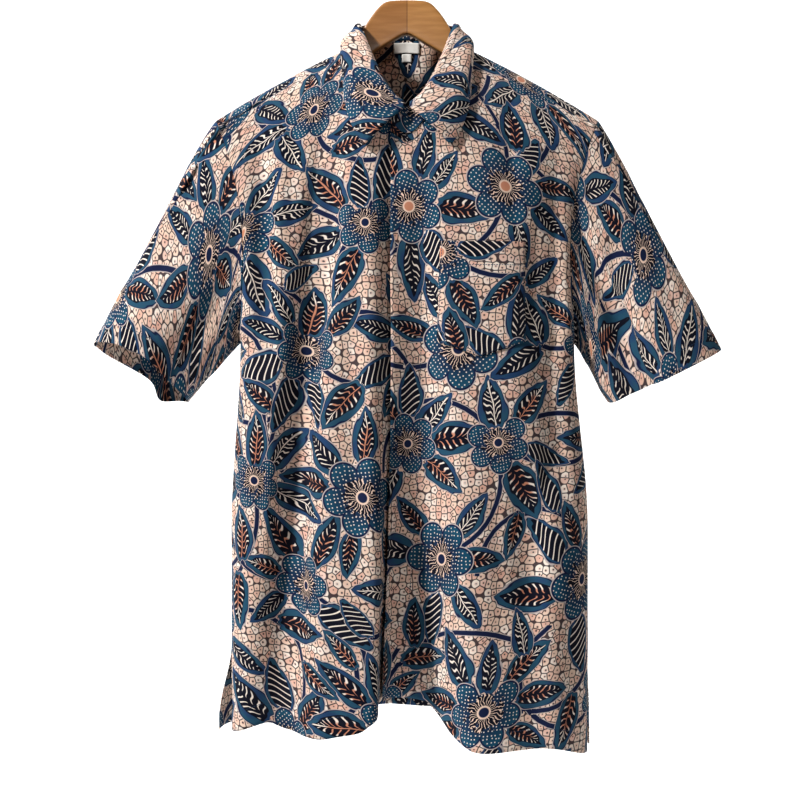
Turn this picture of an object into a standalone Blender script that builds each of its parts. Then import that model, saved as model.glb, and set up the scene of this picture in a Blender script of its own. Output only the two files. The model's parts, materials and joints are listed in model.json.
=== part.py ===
"""Short-sleeved batik shirt on a contoured wooden hanger.

Every cloth piece is a wall lofted through rows worked out from the garment's
sizes: the shoulder line, the neckline, the armholes, the rounded tube of the
body and a short table of its largest folds. The shirt faces -Y, +Z is up and
the origin is the inside top of the hanger's hook.
"""
import math

import bmesh
import bpy
import numpy as np
from mathutils import Matrix, Vector

# ---- driving sizes, in metres -------------------------------------------
WALL = 0.0012
SEAM_GAP = 0.0003

NECK_HALF = 0.062
NECK_POINT_Z = -0.1175
FRONT_NECK_DROP = 0.107
BACK_NECK_RISE = 0.023
SHOULDER_TIP = 0.205
SHOULDER_FALL = 0.46
SHOULDER_BEND = 0.65
TOP_ROUND_NECK = 0.011
TOP_ROUND_TIP = 0.020

ARMPIT_Z = -0.4365
ARMPIT_HALF = 0.180
ARMHOLE_SCOOP = 0.018
MEAN_TOP_Z = -0.165
ROW_LEVELLING = 2.5
SEAM_DEPTH = {"front": 0.60, "back": 0.60}
SEAM_FULLNESS = {"front": 1.35, "back": 1.00}

CHEST_DEPTH = {"front": 0.056, "back": 0.048}
HEM_DEPTH = {"front": 0.068, "back": 0.054}
CHEST_Z = -0.26
HEM_Z = -0.850
BODY_FLARE = 0.010
RIGHT_FLARE = 0.005
FLARE_RUN = 0.20

VENT_Z = -0.762
VENT_RUN = 0.080

PLACKET_HALF = 0.017
FLY_GAP = 0.0026
UNDER_DROP = WALL + FLY_GAP
UNDER_RAMP = (-0.0185, -0.030)

BUTTON_RADIUS = 0.0050
BUTTON_THICK = 0.0018
BUTTON_TOP_Z = -0.2630
BUTTON_PITCH = 0.077
BUTTON_COUNT = 6

STAND_WALL = 0.0014
LEAF_WALL = 0.0014
FOLD_HALF = 0.051
FOLD_SIDE_Z = -0.0953
FOLD_FRONT_Z = -0.1945
FOLD_BACK_Z = -0.073
LEAF_LIFT = 0.0032
LEAF_FRONT_X = 0.003

POCKET_LIFT = 0.0005
LABEL_WALL = 0.0010
TAB_IN = 0.0006
LABEL_ROWS = (2.0, 3.0, 4.0, 4.13)
TAB_ROWS = (4.15, 4.40)
POCKET_POINT = 0.016

HOOK_INNER_RADIUS = 0.019
HOOK_WIRE_RADIUS = 0.0018
HOOK_STEM_Z = -0.080
HANGER_TOP_Z = -0.065
HANGER_TOP_HALF = 0.019
HANGER_BROW = 9.98
HANGER_BROW_POWER = 1.62
HANGER_PEAK_Z = -0.1007
HANGER_TIP = 0.2075

# hem height of the front, from the wearer's right side to the left side
FRONT_HEM = (
    # across, height
    (-0.191, -0.8500),
    (-0.148, -0.8370),
    (-0.126, -0.8450),
    (-0.096, -0.8470),
    (-0.066, -0.8420),
    (-0.048, -0.8380),
    (-0.036, -0.8300),
    (-0.018, -0.8220),
    (0.018, -0.8215),
    (0.038, -0.8275),
    (0.054, -0.8500),
    (0.068, -0.8590),
    (0.114, -0.8590),
    (0.155, -0.8590),
    (0.195, -0.8720),
)
BACK_HEM = (
    # across, height
    (-0.191, -0.8560),
    (-0.120, -0.8430),
    (0.000, -0.8400),
    (0.120, -0.8450),
    (0.195, -0.8720),
)

# the largest folds, each with its power, its sideways shift and its route down the
# cloth: below the hook, across, widths to the left and right, and how far it goes in
# (a ridge is negative)
DROP, ACROSS, LEFT, RIGHT, DEPTH = range(5)
FOLD_REACH = 0.13
SHIFTING_DEPTH = 0.080
FRONT_FOLDS = (
    ("centre valley", 4.0, -0.016, (
        (0.450, 0.0040, 0.022, 0.030, 0.000),
        (0.550, 0.0045, 0.023, 0.032, 0.008),
        (0.650, 0.0050, 0.025, 0.037, 0.029),
        (0.750, 0.0055, 0.028, 0.042, 0.053),
        (0.860, 0.0060, 0.030, 0.047, 0.081),
    )),
    ("upper centre valley", 2.0, 0.0, (
        (0.215, 0.0105, 0.024, 0.014, 0.000),
        (0.275, 0.0125, 0.026, 0.014, 0.005),
        (0.335, 0.0145, 0.027, 0.014, 0.012),
        (0.420, 0.0170, 0.030, 0.015, 0.018),
        (0.520, 0.0210, 0.035, 0.018, 0.019),
        (0.600, 0.0250, 0.040, 0.022, 0.012),
        (0.690, 0.0270, 0.042, 0.024, 0.000),
    )),
    ("long right-side valley", 1.8, 0.0, (
        (0.165, -0.0700, 0.014, 0.010, 0.000),
        (0.225, -0.0730, 0.015, 0.010, 0.007),
        (0.325, -0.0810, 0.017, 0.011, 0.012),
        (0.410, -0.0920, 0.020, 0.012, 0.015),
        (0.500, -0.1060, 0.022, 0.013, 0.019),
        (0.600, -0.1110, 0.026, 0.015, 0.025),
        (0.700, -0.1180, 0.036, 0.019, 0.031),
        (0.860, -0.1260, 0.050, 0.023, 0.036),
    )),
    ("right armhole valley", 2.0, 0.0, (
        (0.190, -0.1560, 0.014, 0.008, 0.000),
        (0.240, -0.1540, 0.016, 0.009, 0.008),
        (0.330, -0.1520, 0.018, 0.010, 0.012),
        (0.420, -0.1500, 0.018, 0.011, 0.010),
        (0.500, -0.1480, 0.018, 0.012, 0.000),
    )),
    ("placket ridge", 2.0, 0.0, (
        (0.280, -0.0380, 0.010, 0.010, 0.000),
        (0.350, -0.0380, 0.010, 0.010, -0.004),
        (0.620, -0.0370, 0.011, 0.010, -0.006),
        (0.710, -0.0370, 0.011, 0.010, 0.000),
    )),
    ("left armhole valley", 2.0, 0.0, (
        (0.285, 0.1560, 0.018, 0.020, 0.000),
        (0.335, 0.1560, 0.030, 0.020, 0.009),
        (0.385, 0.1580, 0.036, 0.020, 0.015),
        (0.430, 0.1600, 0.034, 0.016, 0.014),
        (0.500, 0.1630, 0.026, 0.013, 0.011),
        (0.570, 0.1680, 0.024, 0.012, 0.008),
        (0.640, 0.1700, 0.024, 0.012, 0.000),
    )),
    ("left hip valley", 2.0, 0.0, (
        (0.530, 0.1180, 0.024, 0.013, 0.000),
        (0.590, 0.1220, 0.026, 0.013, 0.008),
        (0.660, 0.1260, 0.028, 0.014, 0.012),
        (0.730, 0.1280, 0.030, 0.015, 0.011),
        (0.860, 0.1320, 0.032, 0.018, 0.009),
    )),
)
BACK_FOLDS = (
    ("back right valley", 2.0, 0.0, (
        (0.210, -0.0900, 0.030, 0.032, 0.000),
        (0.300, -0.0890, 0.030, 0.032, 0.006),
        (0.450, -0.0860, 0.032, 0.034, 0.012),
        (0.650, -0.0820, 0.034, 0.037, 0.022),
        (0.860, -0.0780, 0.036, 0.040, 0.034),
    )),
    ("back middle valley", 2.0, 0.0, (
        (0.280, 0.0060, 0.028, 0.028, 0.000),
        (0.380, 0.0080, 0.028, 0.028, 0.004),
        (0.600, 0.0140, 0.029, 0.031, 0.009),
        (0.860, 0.0220, 0.030, 0.036, 0.015),
    )),
    ("back left valley", 2.0, 0.0, (
        (0.190, 0.1000, 0.032, 0.030, 0.000),
        (0.280, 0.0990, 0.032, 0.030, 0.007),
        (0.450, 0.0980, 0.033, 0.031, 0.013),
        (0.650, 0.0950, 0.035, 0.033, 0.024),
        (0.860, 0.0920, 0.036, 0.034, 0.036),
    )),
)

# each sleeve's open end, and its folds by their angle round it (0 is the top edge)
CUFFS = {
    -1: {"top": (-0.3366, -0.4405), "bottom": (-0.237, -0.499), "front": 0.052, "back": 0.044,
         "tilt": 0.013, "bow": 0.008, "flap": 0.018, "pull": 0.040, "push": 0.130},
    1: {"top": (0.3360, -0.4430), "bottom": (0.218, -0.502), "front": 0.050, "back": 0.044,
        "tilt": -0.002, "bow": 0.002, "flap": 0.0, "pull": 0.025, "push": 0.085},
}
CUFF_FLATNESS = 0.65
FLAP_ANGLE = 236.0
FLAP_WIDTH = 20.0
# a sleeve fold's route: along the sleeve, angle, widths over and under it, depth
SLEEVE_FOLDS = {
    -1: (("front crease", (
        (0.00, 118.0, 16.0, 24.0, 0.000),
        (0.50, 126.0, 16.0, 24.0, 0.008),
        (1.00, 128.0, 20.0, 26.0, 0.011),
    )), ("back crease", (
        (0.00, 235.0, 26.0, 26.0, 0.000),
        (0.50, 235.0, 26.0, 26.0, 0.006),
        (1.00, 235.0, 26.0, 26.0, 0.012),
    ))),
    1: (("front valley", (
        (0.00, 92.0, 12.0, 20.0, 0.000),
        (0.15, 96.0, 12.0, 20.0, 0.006),
        (0.45, 112.0, 12.0, 21.0, 0.014),
        (0.80, 122.0, 13.0, 22.0, 0.019),
        (1.00, 124.0, 15.0, 23.0, 0.021),
    )), ("back crease", (
        (0.00, 240.0, 26.0, 26.0, 0.000),
        (0.50, 240.0, 26.0, 26.0, 0.008),
        (1.00, 240.0, 26.0, 26.0, 0.012),
    ))),
}

# the collar leaf's outer edge, from its point round to the back of the neck
LEAF_EDGE = (
    # side, x, y where it is clear of the front (None where it lies on it), z
    ("point", 0.0447, None, -0.2361),
    ("below the point", 0.0561, None, -0.2170),
    ("chest", 0.0640, None, -0.1914),
    ("front shoulder", 0.0675, None, -0.1560),
    ("front of the seam", 0.0700, None, -0.1320),
    ("shoulder seam", 0.0700, 0.000, -0.1190),
    ("back shoulder", 0.0610, 0.032, -0.1140),
    ("back side", 0.0350, 0.050, -0.1130),
    ("back middle", 0.0000, 0.0545, -0.1130),
)

# colour, roughness and metallic value of each kind of piece
BATIK = ((0.52, 0.45, 0.42), 0.85, 0.0)
COLLAR_BATIK = ((0.30, 0.34, 0.40), 0.85, 0.0)
WOVEN = ((0.82, 0.81, 0.76), 0.80, 0.0)
HORN = ((0.05, 0.07, 0.12), 0.40, 0.0)
WOOD = ((0.55, 0.29, 0.11), 0.45, 0.0)
STEEL = ((0.72, 0.72, 0.74), 0.25, 1.0)

# ---- how finely the rows and columns are spaced --------------------------
ROUND_ANGLES = (0.0, 0.13, 0.45, 0.90, 1.57)
UPPER_LEVELS = (0.11, 0.20, 0.30, 0.41, 0.52, 0.635, 0.745, 0.85, 0.94, 1.0)
LOWER_LEVELS = (0.05, 0.14, 0.25, 0.37, 0.49, 0.61, 0.73, 0.83, 0.92, 1.0)
NECK_COLUMNS = {"front": 4, "back": 3}
SHOULDER_COLUMNS = {"front": 11, "back": 8}
SLEEVE_RINGS = (0.0, 0.03, 0.13, 0.28, 0.46, 0.64, 0.82, 1.0)
FINE_STEPS = 140
POCKET_ROWS = ("upper 0.635", "upper 1.000")


# ---- small helpers --------------------------------------------------------
def clamp(value, low=0.0, high=1.0):
    return max(low, min(high, value))


def smooth(value):
    value = clamp(value)
    return value * value * (3.0 - 2.0 * value)


def ease(value):
    value = clamp(value)
    return 1.0 - (1.0 - value) ** 2


def mix(a, b, share):
    return a + (b - a) * share


def spline(table, position):
    """Smooth curve through a table's rows of (position, value)."""
    if position <= table[0][0]:
        return table[0][1]
    if position >= table[-1][0]:
        return table[-1][1]
    index = 0
    while position > table[index + 1][0]:
        index += 1
    before = table[max(index - 1, 0)]
    start, end = table[index], table[index + 1]
    after = table[min(index + 2, len(table) - 1)]
    span = end[0] - start[0]
    slope_start = (end[1] - before[1]) / (end[0] - before[0])
    slope_end = (after[1] - start[1]) / (after[0] - start[0])
    u = (position - start[0]) / span
    return ((2 * u ** 3 - 3 * u ** 2 + 1) * start[1] + (u ** 3 - 2 * u ** 2 + u) * span * slope_start
            + (3 * u ** 2 - 2 * u ** 3) * end[1] + (u ** 3 - u ** 2) * span * slope_end)


def resample(points, shares):
    """Points at the given shares of a polyline's length."""
    points = [Vector(p) for p in points]
    lengths = [0.0]
    for a, b in zip(points, points[1:]):
        lengths.append(lengths[-1] + (b - a).length)
    found = []
    for share in shares:
        goal = share * lengths[-1]
        index = int(np.searchsorted(lengths, goal, side="right")) - 1
        index = max(0, min(index, len(points) - 2))
        span = lengths[index + 1] - lengths[index]
        found.append(points[index].lerp(points[index + 1], (goal - lengths[index]) / span))
    return found


# ---- the garment's form ---------------------------------------------------
def shoulder_z(x):
    out = max(abs(x) - NECK_HALF, 0.0)
    return NECK_POINT_Z - SHOULDER_FALL * out - SHOULDER_BEND * out * out


def crest_z(face, x):
    """Height that the drop to the chest is measured from."""
    if face == "front" or abs(x) >= NECK_HALF:
        return shoulder_z(x)
    return NECK_POINT_Z + 0.096 * (1.0 - (abs(x) / NECK_HALF) ** 2)


def neckline_z(face, x):
    across = min(abs(x) / NECK_HALF, 1.0)
    if face == "front":
        return NECK_POINT_Z - FRONT_NECK_DROP * (1.0 - across ** 1.5)
    return NECK_POINT_Z + BACK_NECK_RISE * (1.0 - across ** 2)


def top_round(x):
    return mix(TOP_ROUND_NECK, TOP_ROUND_TIP, min(abs(x) / SHOULDER_TIP, 1.0) ** 2)


def drape_depth(face, x, z):
    """How far a face of the body stands from the shoulder line's plane."""
    drop = max(crest_z(face, x) - z, 0.0)
    radius = top_round(x)
    lean = clamp((CHEST_Z - z) / (CHEST_Z - HEM_Z))
    full = mix(CHEST_DEPTH[face], HEM_DEPTH[face], lean)
    turn = clamp(drop / (0.9 * radius))
    run = 0.105 + 0.10 * min(abs(x) / SHOULDER_TIP, 1.0)
    return radius * math.sqrt(1.0 - (1.0 - turn) ** 2) + (full - radius) * ease(drop / run)


def body_half(side, z):
    below = smooth((ARMPIT_Z - z) / FLARE_RUN)
    extra = RIGHT_FLARE if side > 0 else 0.0
    return ARMPIT_HALF + (BODY_FLARE + extra) * below


def on_route(route, column, drop):
    """One column of a fold's route, read at a distance below the hook."""
    return spline([(row[DROP], row[column]) for row in route], drop)


def fold_at(folds, x, z):
    """Inward depth and sideways shift of all the folds at a place."""
    depth = 0.0
    shift = 0.0
    for _, power, sideways, route in folds:
        if -z < route[0][DROP]:
            continue
        away = x - on_route(route, ACROSS, -z)
        if abs(away) > FOLD_REACH:
            continue
        width = on_route(route, LEFT if away < 0.0 else RIGHT, -z)
        inward = on_route(route, DEPTH, -z) * math.exp(-abs(away / width) ** power)
        depth += inward
        shift += sideways * inward / SHIFTING_DEPTH
    return depth, shift


def body_point(face, side, x, z, level, edge):
    """A place on the outside of the body.

    level is 0 at the shoulder and 1 at the armpit and below; edge is half the
    body's width in that row."""
    sign = -1.0 if face == "front" else 1.0
    folds = FRONT_FOLDS if face == "front" else BACK_FOLDS
    depth = drape_depth(face, x, z)
    across = clamp(abs(x) / edge)
    if level < 1.0:
        edge_drop = mix(shoulder_z(SHOULDER_TIP), ARMPIT_Z, level)
        edge_depth = drape_depth(face, edge, edge_drop)
        kept = SEAM_DEPTH[face] * (1.0 if side > 0 else SEAM_FULLNESS[face])
        hollow = edge_depth * mix(1.0, kept, smooth(level / 0.4)) * math.sqrt(1.0 - level ** 4)
    else:
        hollow = 0.0
    power = mix(8.0, 5.0, smooth((ARMPIT_Z - z) / 0.25))
    turn = mix(1.0, 0.5, smooth((level - 0.35) / 0.65))
    out = hollow + (depth - hollow) * max(1.0 - across ** power, 0.0) ** turn
    fold, shift = fold_at(folds, x, z)
    still = (1.0 - across ** 6) * smooth((crest_z(face, x) - z - 0.015) / 0.06)
    out -= fold * still
    x += shift * still
    vent = smooth((VENT_Z - z) / VENT_RUN)
    near_edge = math.exp(-((edge - abs(x)) / 0.022) ** 2) if x * side > 0 else 0.0
    if face == "front":
        out += 0.006 * vent * near_edge
        x -= side * 0.002 * vent * near_edge
    else:
        out += 0.005 * vent * near_edge
        x += side * (0.014 if side < 0 else 0.003) * vent * near_edge
    return Vector((x, sign * (out + SEAM_GAP / 2), z))


def hem_z(face, x):
    return spline(FRONT_HEM if face == "front" else BACK_HEM, x)


def lower_point(face, side, x, level):
    z = mix(ARMPIT_Z, hem_z(face, x), level)
    return body_point(face, side, x, z, 1.0, body_half(side, z) + 1e-9)


def row_shares(face):
    """Column places, as shares of the way from the placket line to the side."""
    count = NECK_COLUMNS[face] + SHOULDER_COLUMNS[face]
    return [index / count for index in range(count)] + [0.992, 1.0]


def top_edge(face, start, side):
    """Neckline and shoulder seam, as (x, z), at each column."""
    neck = []
    for step in range(41):
        x = mix(start, NECK_HALF, step / 40)
        neck.append((x, 0.0, neckline_z(face, x)))
    seam = []
    for step in range(41):
        x = mix(NECK_HALF, SHOULDER_TIP, step / 40)
        seam.append((x, 0.0, shoulder_z(x)))
    neck_shares = [index / NECK_COLUMNS[face] for index in range(NECK_COLUMNS[face])]
    seam_shares = [index / SHOULDER_COLUMNS[face] for index in range(SHOULDER_COLUMNS[face])]
    points = resample(neck, neck_shares) + resample(seam, seam_shares + [0.988, 1.0])
    return [(side * p.x, p.z) for p in points]


def lower_columns(face, side, start, level, shares):
    """Places across the body at one level, spaced evenly along the cloth."""
    z = mix(ARMPIT_Z, HEM_Z, level)
    half = body_half(side, z)
    first = math.asin(clamp(start / half, -1.0, 1.0))
    fine = []
    for step in range(FINE_STEPS + 1):
        x = side * half * math.sin(mix(first, math.pi / 2, step / FINE_STEPS))
        fine.append((x, lower_point(face, side, x, level)))
    lengths = [0.0]
    for (_, a), (_, b) in zip(fine, fine[1:]):
        lengths.append(lengths[-1] + (b - a).length)
    goals = [share * lengths[-1] for share in shares]
    return list(np.interp(goals, lengths, [x for x, _ in fine]))


def under_offset(point, ahead, behind, x):
    """Moves the underlap inwards, behind the placket."""
    share = smooth((x - UNDER_RAMP[1]) / (UNDER_RAMP[0] - UNDER_RAMP[1]))
    along = ahead - behind
    normal = Vector((along.y, -along.x, 0.0)).normalized()
    if normal.y > 0:
        normal = -normal
    return point - normal * UNDER_DROP * share


def half_panel(face, side, strip, under=False):
    """Rows of points from the shoulder to the hem, from the middle to the side.

    strip holds the columns near the middle, by their x."""
    start = abs(strip[-1]) if len(strip) else 0.0
    shares = row_shares(face)
    top = top_edge(face, start, side)
    armpit = lower_columns(face, side, start, 0.0, shares)
    rows = []
    names = []

    def place(x, z, level, edge):
        point = body_point(face, side, x, z, level, edge)
        if under and x > UNDER_RAMP[1]:
            ahead = body_point(face, side, x + 0.0005, z, level, edge)
            behind = body_point(face, side, x - 0.0005, z, level, edge)
            point = under_offset(point, ahead, behind, x)
        return point

    def upper_row(level_of):
        row = []
        columns = [(x, neckline_z(face, x), x, 0.0) for x in strip[:-1]]
        columns += [(top[i][0], top[i][1], armpit[i], shares[i]) for i in range(len(shares))]
        tip_level = level_of(SHOULDER_TIP, shoulder_z(SHOULDER_TIP))
        tip_edge = mix(SHOULDER_TIP, ARMPIT_HALF, tip_level)
        tip_edge -= ARMHOLE_SCOOP * math.sin(math.pi * tip_level)
        for x_top, z_top, x_armpit, share in columns:
            level = level_of(x_top, z_top)
            x = mix(x_top, x_armpit, level)
            x -= side * ARMHOLE_SCOOP * math.sin(math.pi * level) * share ** 4
            z = mix(MEAN_TOP_Z, ARMPIT_Z, level)
            z += (z_top - MEAN_TOP_Z) * (1.0 - level) ** ROW_LEVELLING
            row.append(place(x, z, level, tip_edge + 1e-9))
        return row

    for angle in ROUND_ANGLES:
        def round_level(x, z, angle=angle):
            drop = 0.9 * top_round(x) * (1.0 - math.cos(angle))
            fall = (MEAN_TOP_Z - ARMPIT_Z) + ROW_LEVELLING * (z - MEAN_TOP_Z)
            return drop / fall
        rows.append(upper_row(round_level))
        names.append("round %.2f" % angle)
    for level in UPPER_LEVELS:
        rows.append(upper_row(lambda x, z, level=level: level))
        names.append("upper %.3f" % level)
    for level in LOWER_LEVELS:
        columns = list(strip[:-1]) + lower_columns(face, side, start, level, shares)
        outer = body_half(side, mix(ARMPIT_Z, HEM_Z, level))
        row = []
        for x in columns:
            z = mix(ARMPIT_Z, hem_z(face, x), level)
            x *= mix(1.0, body_half(side, z) / outer, (abs(x) / outer) ** 4)
            row.append(place(x, z, 1.0, body_half(side, z) + 1e-9))
        rows.append(row)
        names.append("lower %.3f" % level)
    return rows, names


def back_panel():
    left, names = half_panel("back", -1, (0.0, -0.0165))
    right, _ = half_panel("back", 1, (0.0, 0.0165))
    rows = [list(reversed(a)) + b[1:] for a, b in zip(left, right)]
    return rows, names


# ---- sleeves -------------------------------------------------------------
def armhole(side, front_rows, back_rows):
    """The armhole's loop from the shoulder, down the front and up the back.

    Each place has its point and the cloth's direction out of the body."""
    last = -1 if side > 0 else 0
    before = -2 if side > 0 else 1
    count = len(ROUND_ANGLES) + len(UPPER_LEVELS)
    front = [(row[-1], (row[-1] - row[-2]).normalized()) for row in front_rows[:count]]
    back = [(row[last], (row[last] - row[before]).normalized()) for row in back_rows[:count]]
    loop = front + list(reversed(back))[1:-1]
    loop[0] = (Vector((loop[0][0].x, 0.0, loop[0][0].z)), loop[0][1])
    middle = count - 1
    loop[middle] = (Vector((loop[middle][0].x, 0.0, loop[middle][0].z)), loop[middle][1])
    return loop, middle


def cuff_point(side, angle):
    cuff = CUFFS[side]
    top = Vector((cuff["top"][0], 0.0, cuff["top"][1]))
    bottom = Vector((cuff["bottom"][0], 0.0, cuff["bottom"][1]))
    centre = (top + bottom) / 2
    reach = (top - bottom) / 2
    up = Vector((-side * abs(reach.z), 0.0, abs(reach.x))).normalized()
    sine = math.sin(angle)
    depth = cuff["front"] if sine > 0 else cuff["back"]
    flat = math.copysign(abs(sine) ** CUFF_FLATNESS, sine)
    point = centre + reach * math.cos(angle) + Vector((0.0, -depth * flat, 0.0))
    sag = cuff["flap"] * math.exp(-((math.degrees(angle) - FLAP_ANGLE) / FLAP_WIDTH) ** 2)
    return point + up * (cuff["tilt"] * sine + cuff["bow"] * sine * sine - sag)


def sleeve_rows(side, front_rows, back_rows):
    loop, middle = armhole(side, front_rows, back_rows)
    lengths = [0.0]
    for (a, _), (b, _) in zip(loop, loop[1:] + loop[:1]):
        lengths.append(lengths[-1] + (b - a).length)
    angles = []
    for index in range(len(loop)):
        if index <= middle:
            angles.append(math.pi * lengths[index] / lengths[middle])
        else:
            share = (lengths[index] - lengths[middle]) / (lengths[-1] - lengths[middle])
            angles.append(math.pi * (1.0 + share))
    under = Vector((side * 0.66, 0.0, -0.75))
    rows = []
    for ring in SLEEVE_RINGS:
        row = []
        for (start, out), angle in zip(loop, angles):
            low = (1.0 - math.cos(angle)) / 2
            turned = smooth((low - 0.52) / 0.44)
            first = out.lerp(under, turned).normalized()
            end = cuff_point(side, angle)
            last = Vector((side * mix(0.40, 0.60, low), 0.0, -mix(0.92, 0.75, low))).normalized()
            pull = mix(CUFFS[side]["pull"], 0.030, low)
            push = mix(CUFFS[side]["push"], 0.040, low)
            begin = start + first * SEAM_GAP
            u = ring
            point = (begin * (2 * u ** 3 - 3 * u ** 2 + 1) + first * pull * (u ** 3 - 2 * u ** 2 + u)
                     + end * (3 * u ** 2 - 2 * u ** 3) + last * push * (u ** 3 - u ** 2))
            row.append(point)
        centre = sum(row, Vector()) / len(row)
        for index, angle in enumerate(angles):
            inward = (centre - row[index]).normalized()
            for _, route in SLEEVE_FOLDS[side]:
                away = math.degrees(angle) - on_route(route, ACROSS, ring)
                width = on_route(route, LEFT if away < 0.0 else RIGHT, ring)
                depth = on_route(route, DEPTH, ring) * math.exp(-(away / width) ** 2)
                row[index] = row[index] + inward * depth
        rows.append(row)
    return rows


# ---- collar ----------------------------------------------------------------
def neck_front(x, under):
    """A place on the front's neckline and the one just below it."""
    side = -1 if x < 0 else 1
    point = body_point("front", side, x, neckline_z("front", x), 0.0, SHOULDER_TIP)
    if under and x > UNDER_RAMP[1]:
        z = neckline_z("front", x)
        ahead = body_point("front", side, x + 0.0005, z, 0.0, SHOULDER_TIP)
        behind = body_point("front", side, x - 0.0005, z, 0.0, SHOULDER_TIP)
        point = under_offset(point, ahead, behind, x)
    return point


def neck_back(x):
    return body_point("back", -1 if x < 0 else 1, x, neckline_z("back", x), 0.0, SHOULDER_TIP)


def fold_point(base, face):
    """The collar's fold line above a place on the neckline."""
    x = base.x * FOLD_HALF / NECK_HALF
    across = clamp(abs(x) / FOLD_HALF)
    if face == "front":
        z = mix(FOLD_FRONT_Z, FOLD_SIDE_Z, across ** 1.75)
        return Vector((x, base.y * 0.97, z))
    z = mix(FOLD_BACK_Z, FOLD_SIDE_Z, across ** 2)
    return Vector((x, base.y * 0.85, z))


def neck_places():
    """Across places of the collar stand's columns, from the underlap's end round."""
    steps = [math.sin(math.radians(a)) for a in (24, 36, 48, 60, 71, 80, 86)]
    sides = [share * NECK_HALF for share in steps]
    front_first = [("front", x, True) for x in (0.017, 0.0057, -0.0057, -0.017, -0.0185)]
    front_first += [("front", -x, True) for x in sides]
    back = [("back", -NECK_HALF, False)]
    back += [("back", -x, False) for x in reversed(sides)]
    back += [("back", x, False) for x in (-0.012, 0.0, 0.012)]
    back += [("back", x, False) for x in sides]
    back += [("back", NECK_HALF, False)]
    front_last = [("front", x, False) for x in reversed(sides)]
    front_last += [("front", x, False) for x in (0.017, 0.0057, -0.0057, -0.017)]
    return front_first + back + front_last


def stand_rows():
    rows = [[], [], []]
    for face, x, under in neck_places():
        base = neck_front(x, under) if face == "front" else neck_back(x)
        fold = fold_point(base, face)
        rise = (fold - base).normalized()
        rows[0].append(fold)
        rows[1].append(base.lerp(fold, 0.5))
        rows[2].append(base + rise * SEAM_GAP + Vector((0.0, 0.0, SEAM_GAP)))
    return rows


def leaf_edge():
    """One half of the leaf's outer edge, from the point to the back."""
    xs, ys, zs = [], [], []
    for index, (_, x, y, z) in enumerate(LEAF_EDGE):
        if y is None:
            y = body_point("front", 1, x, z, 0.3, SHOULDER_TIP).y - LEAF_LIFT - LEAF_WALL
        xs.append((index, x))
        ys.append((index, y))
        zs.append((index, z))
    last = len(LEAF_EDGE) - 1
    fine = []
    for step in range(61):
        at = last * step / 60
        fine.append(Vector((spline(xs, at), spline(ys, at), spline(zs, at))))
    return fine


def leaf_fold():
    """One half of the fold line, from the front end to the back."""
    fine = []
    for step in range(41):
        x = mix(LEAF_FRONT_X * NECK_HALF / FOLD_HALF, NECK_HALF, math.sin(step / 40 * math.pi / 2))
        fine.append(fold_point(neck_front(x, False), "front"))
    for step in range(1, 41):
        x = NECK_HALF * math.cos(step / 40 * math.pi / 2)
        fine.append(fold_point(neck_back(x), "back"))
    return fine


def leaf_rows():
    count = 18
    shares = [index / count for index in range(count + 1)]
    folds = resample(leaf_fold(), shares)
    edges = resample(leaf_edge(), shares)
    half = []
    for index, (fold, edge) in enumerate(zip(folds, edges)):
        if index < count:
            along = folds[index + 1] - fold
        else:
            along = fold - folds[index - 1]
        if index > 0:
            along = along + (fold - folds[index - 1])
        out = Vector((along.y, -along.x, 0.0))
        out = out.normalized() if out.length > 1e-9 else Vector((0.0, 1.0, 0.0))
        if out.dot(Vector((fold.x, fold.y, 0.0))) < 0:
            out = -out
        up = Vector((0.0, 0.0, 1.0))
        crest = fold + up * 0.0032 - out * 0.0004
        over = fold + up * 0.0024 + out * 0.0042
        begin = fold + out * 0.0080 - up * 0.0040
        column = [crest, over, begin]
        for share in (0.30, 0.62, 1.0):
            bulge = 0.0054 * math.sin(math.pi * share)
            column.append(begin.lerp(edge, share) + out * bulge)
        half.append(column)
    columns = [[Vector((-p.x, p.y, p.z)) for p in column] for column in half]
    columns += list(reversed(half[:-1]))
    return [[column[level] for column in columns] for level in range(len(columns[0]))]


# ---- turning rows into cloth ----------------------------------------------
def material(name, colour, roughness, metallic):
    made = bpy.data.materials.new(name)
    made.use_nodes = True
    shader = made.node_tree.nodes["Principled BSDF"]
    shader.inputs["Base Color"].default_value = (*colour, 1.0)
    shader.inputs["Roughness"].default_value = roughness
    shader.inputs["Metallic"].default_value = metallic
    made.diffuse_color = (*colour, 1.0)
    return made


def finish_piece(made, collection, finish):
    """Puts a piece in the shirt's collection and gives it its own material."""
    collection.objects.link(made)
    made.data.materials.append(material(made.name + "_finish", *finish))
    return made


def new_object(name, mesh, collection, finish):
    return finish_piece(bpy.data.objects.new(name, mesh), collection, finish)


def cloth(name, rows, collection, finish, wall=WALL, closed=False, flip=False, extra=()):
    """A wall of cloth: an open sheet through the rows, with Solidify.

    extra holds faces below the last row, each a list of points."""
    sheet = bmesh.new()
    grid = [[sheet.verts.new(p) for p in row] for row in rows]
    width = len(rows[0])
    for upper, lower in zip(grid, grid[1:]):
        for index in range(width if closed else width - 1):
            nxt = (index + 1) % width
            corners = (upper[index], lower[index], lower[nxt], upper[nxt])
            sheet.faces.new(tuple(reversed(corners)) if flip else corners)
    for corners in extra:
        made = [sheet.verts.new(p) for p in corners]
        sheet.faces.new(tuple(reversed(made)) if flip else made)
    if extra:
        bmesh.ops.remove_doubles(sheet, verts=sheet.verts, dist=1e-6)
    mesh = bpy.data.meshes.new(name)
    sheet.to_mesh(mesh)
    sheet.free()
    made = new_object(name, mesh, collection, finish)
    solid = made.modifiers.new("Wall", "SOLIDIFY")
    solid.thickness = wall
    solid.offset = -1.0
    mesh.shade_smooth()
    return made


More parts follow.
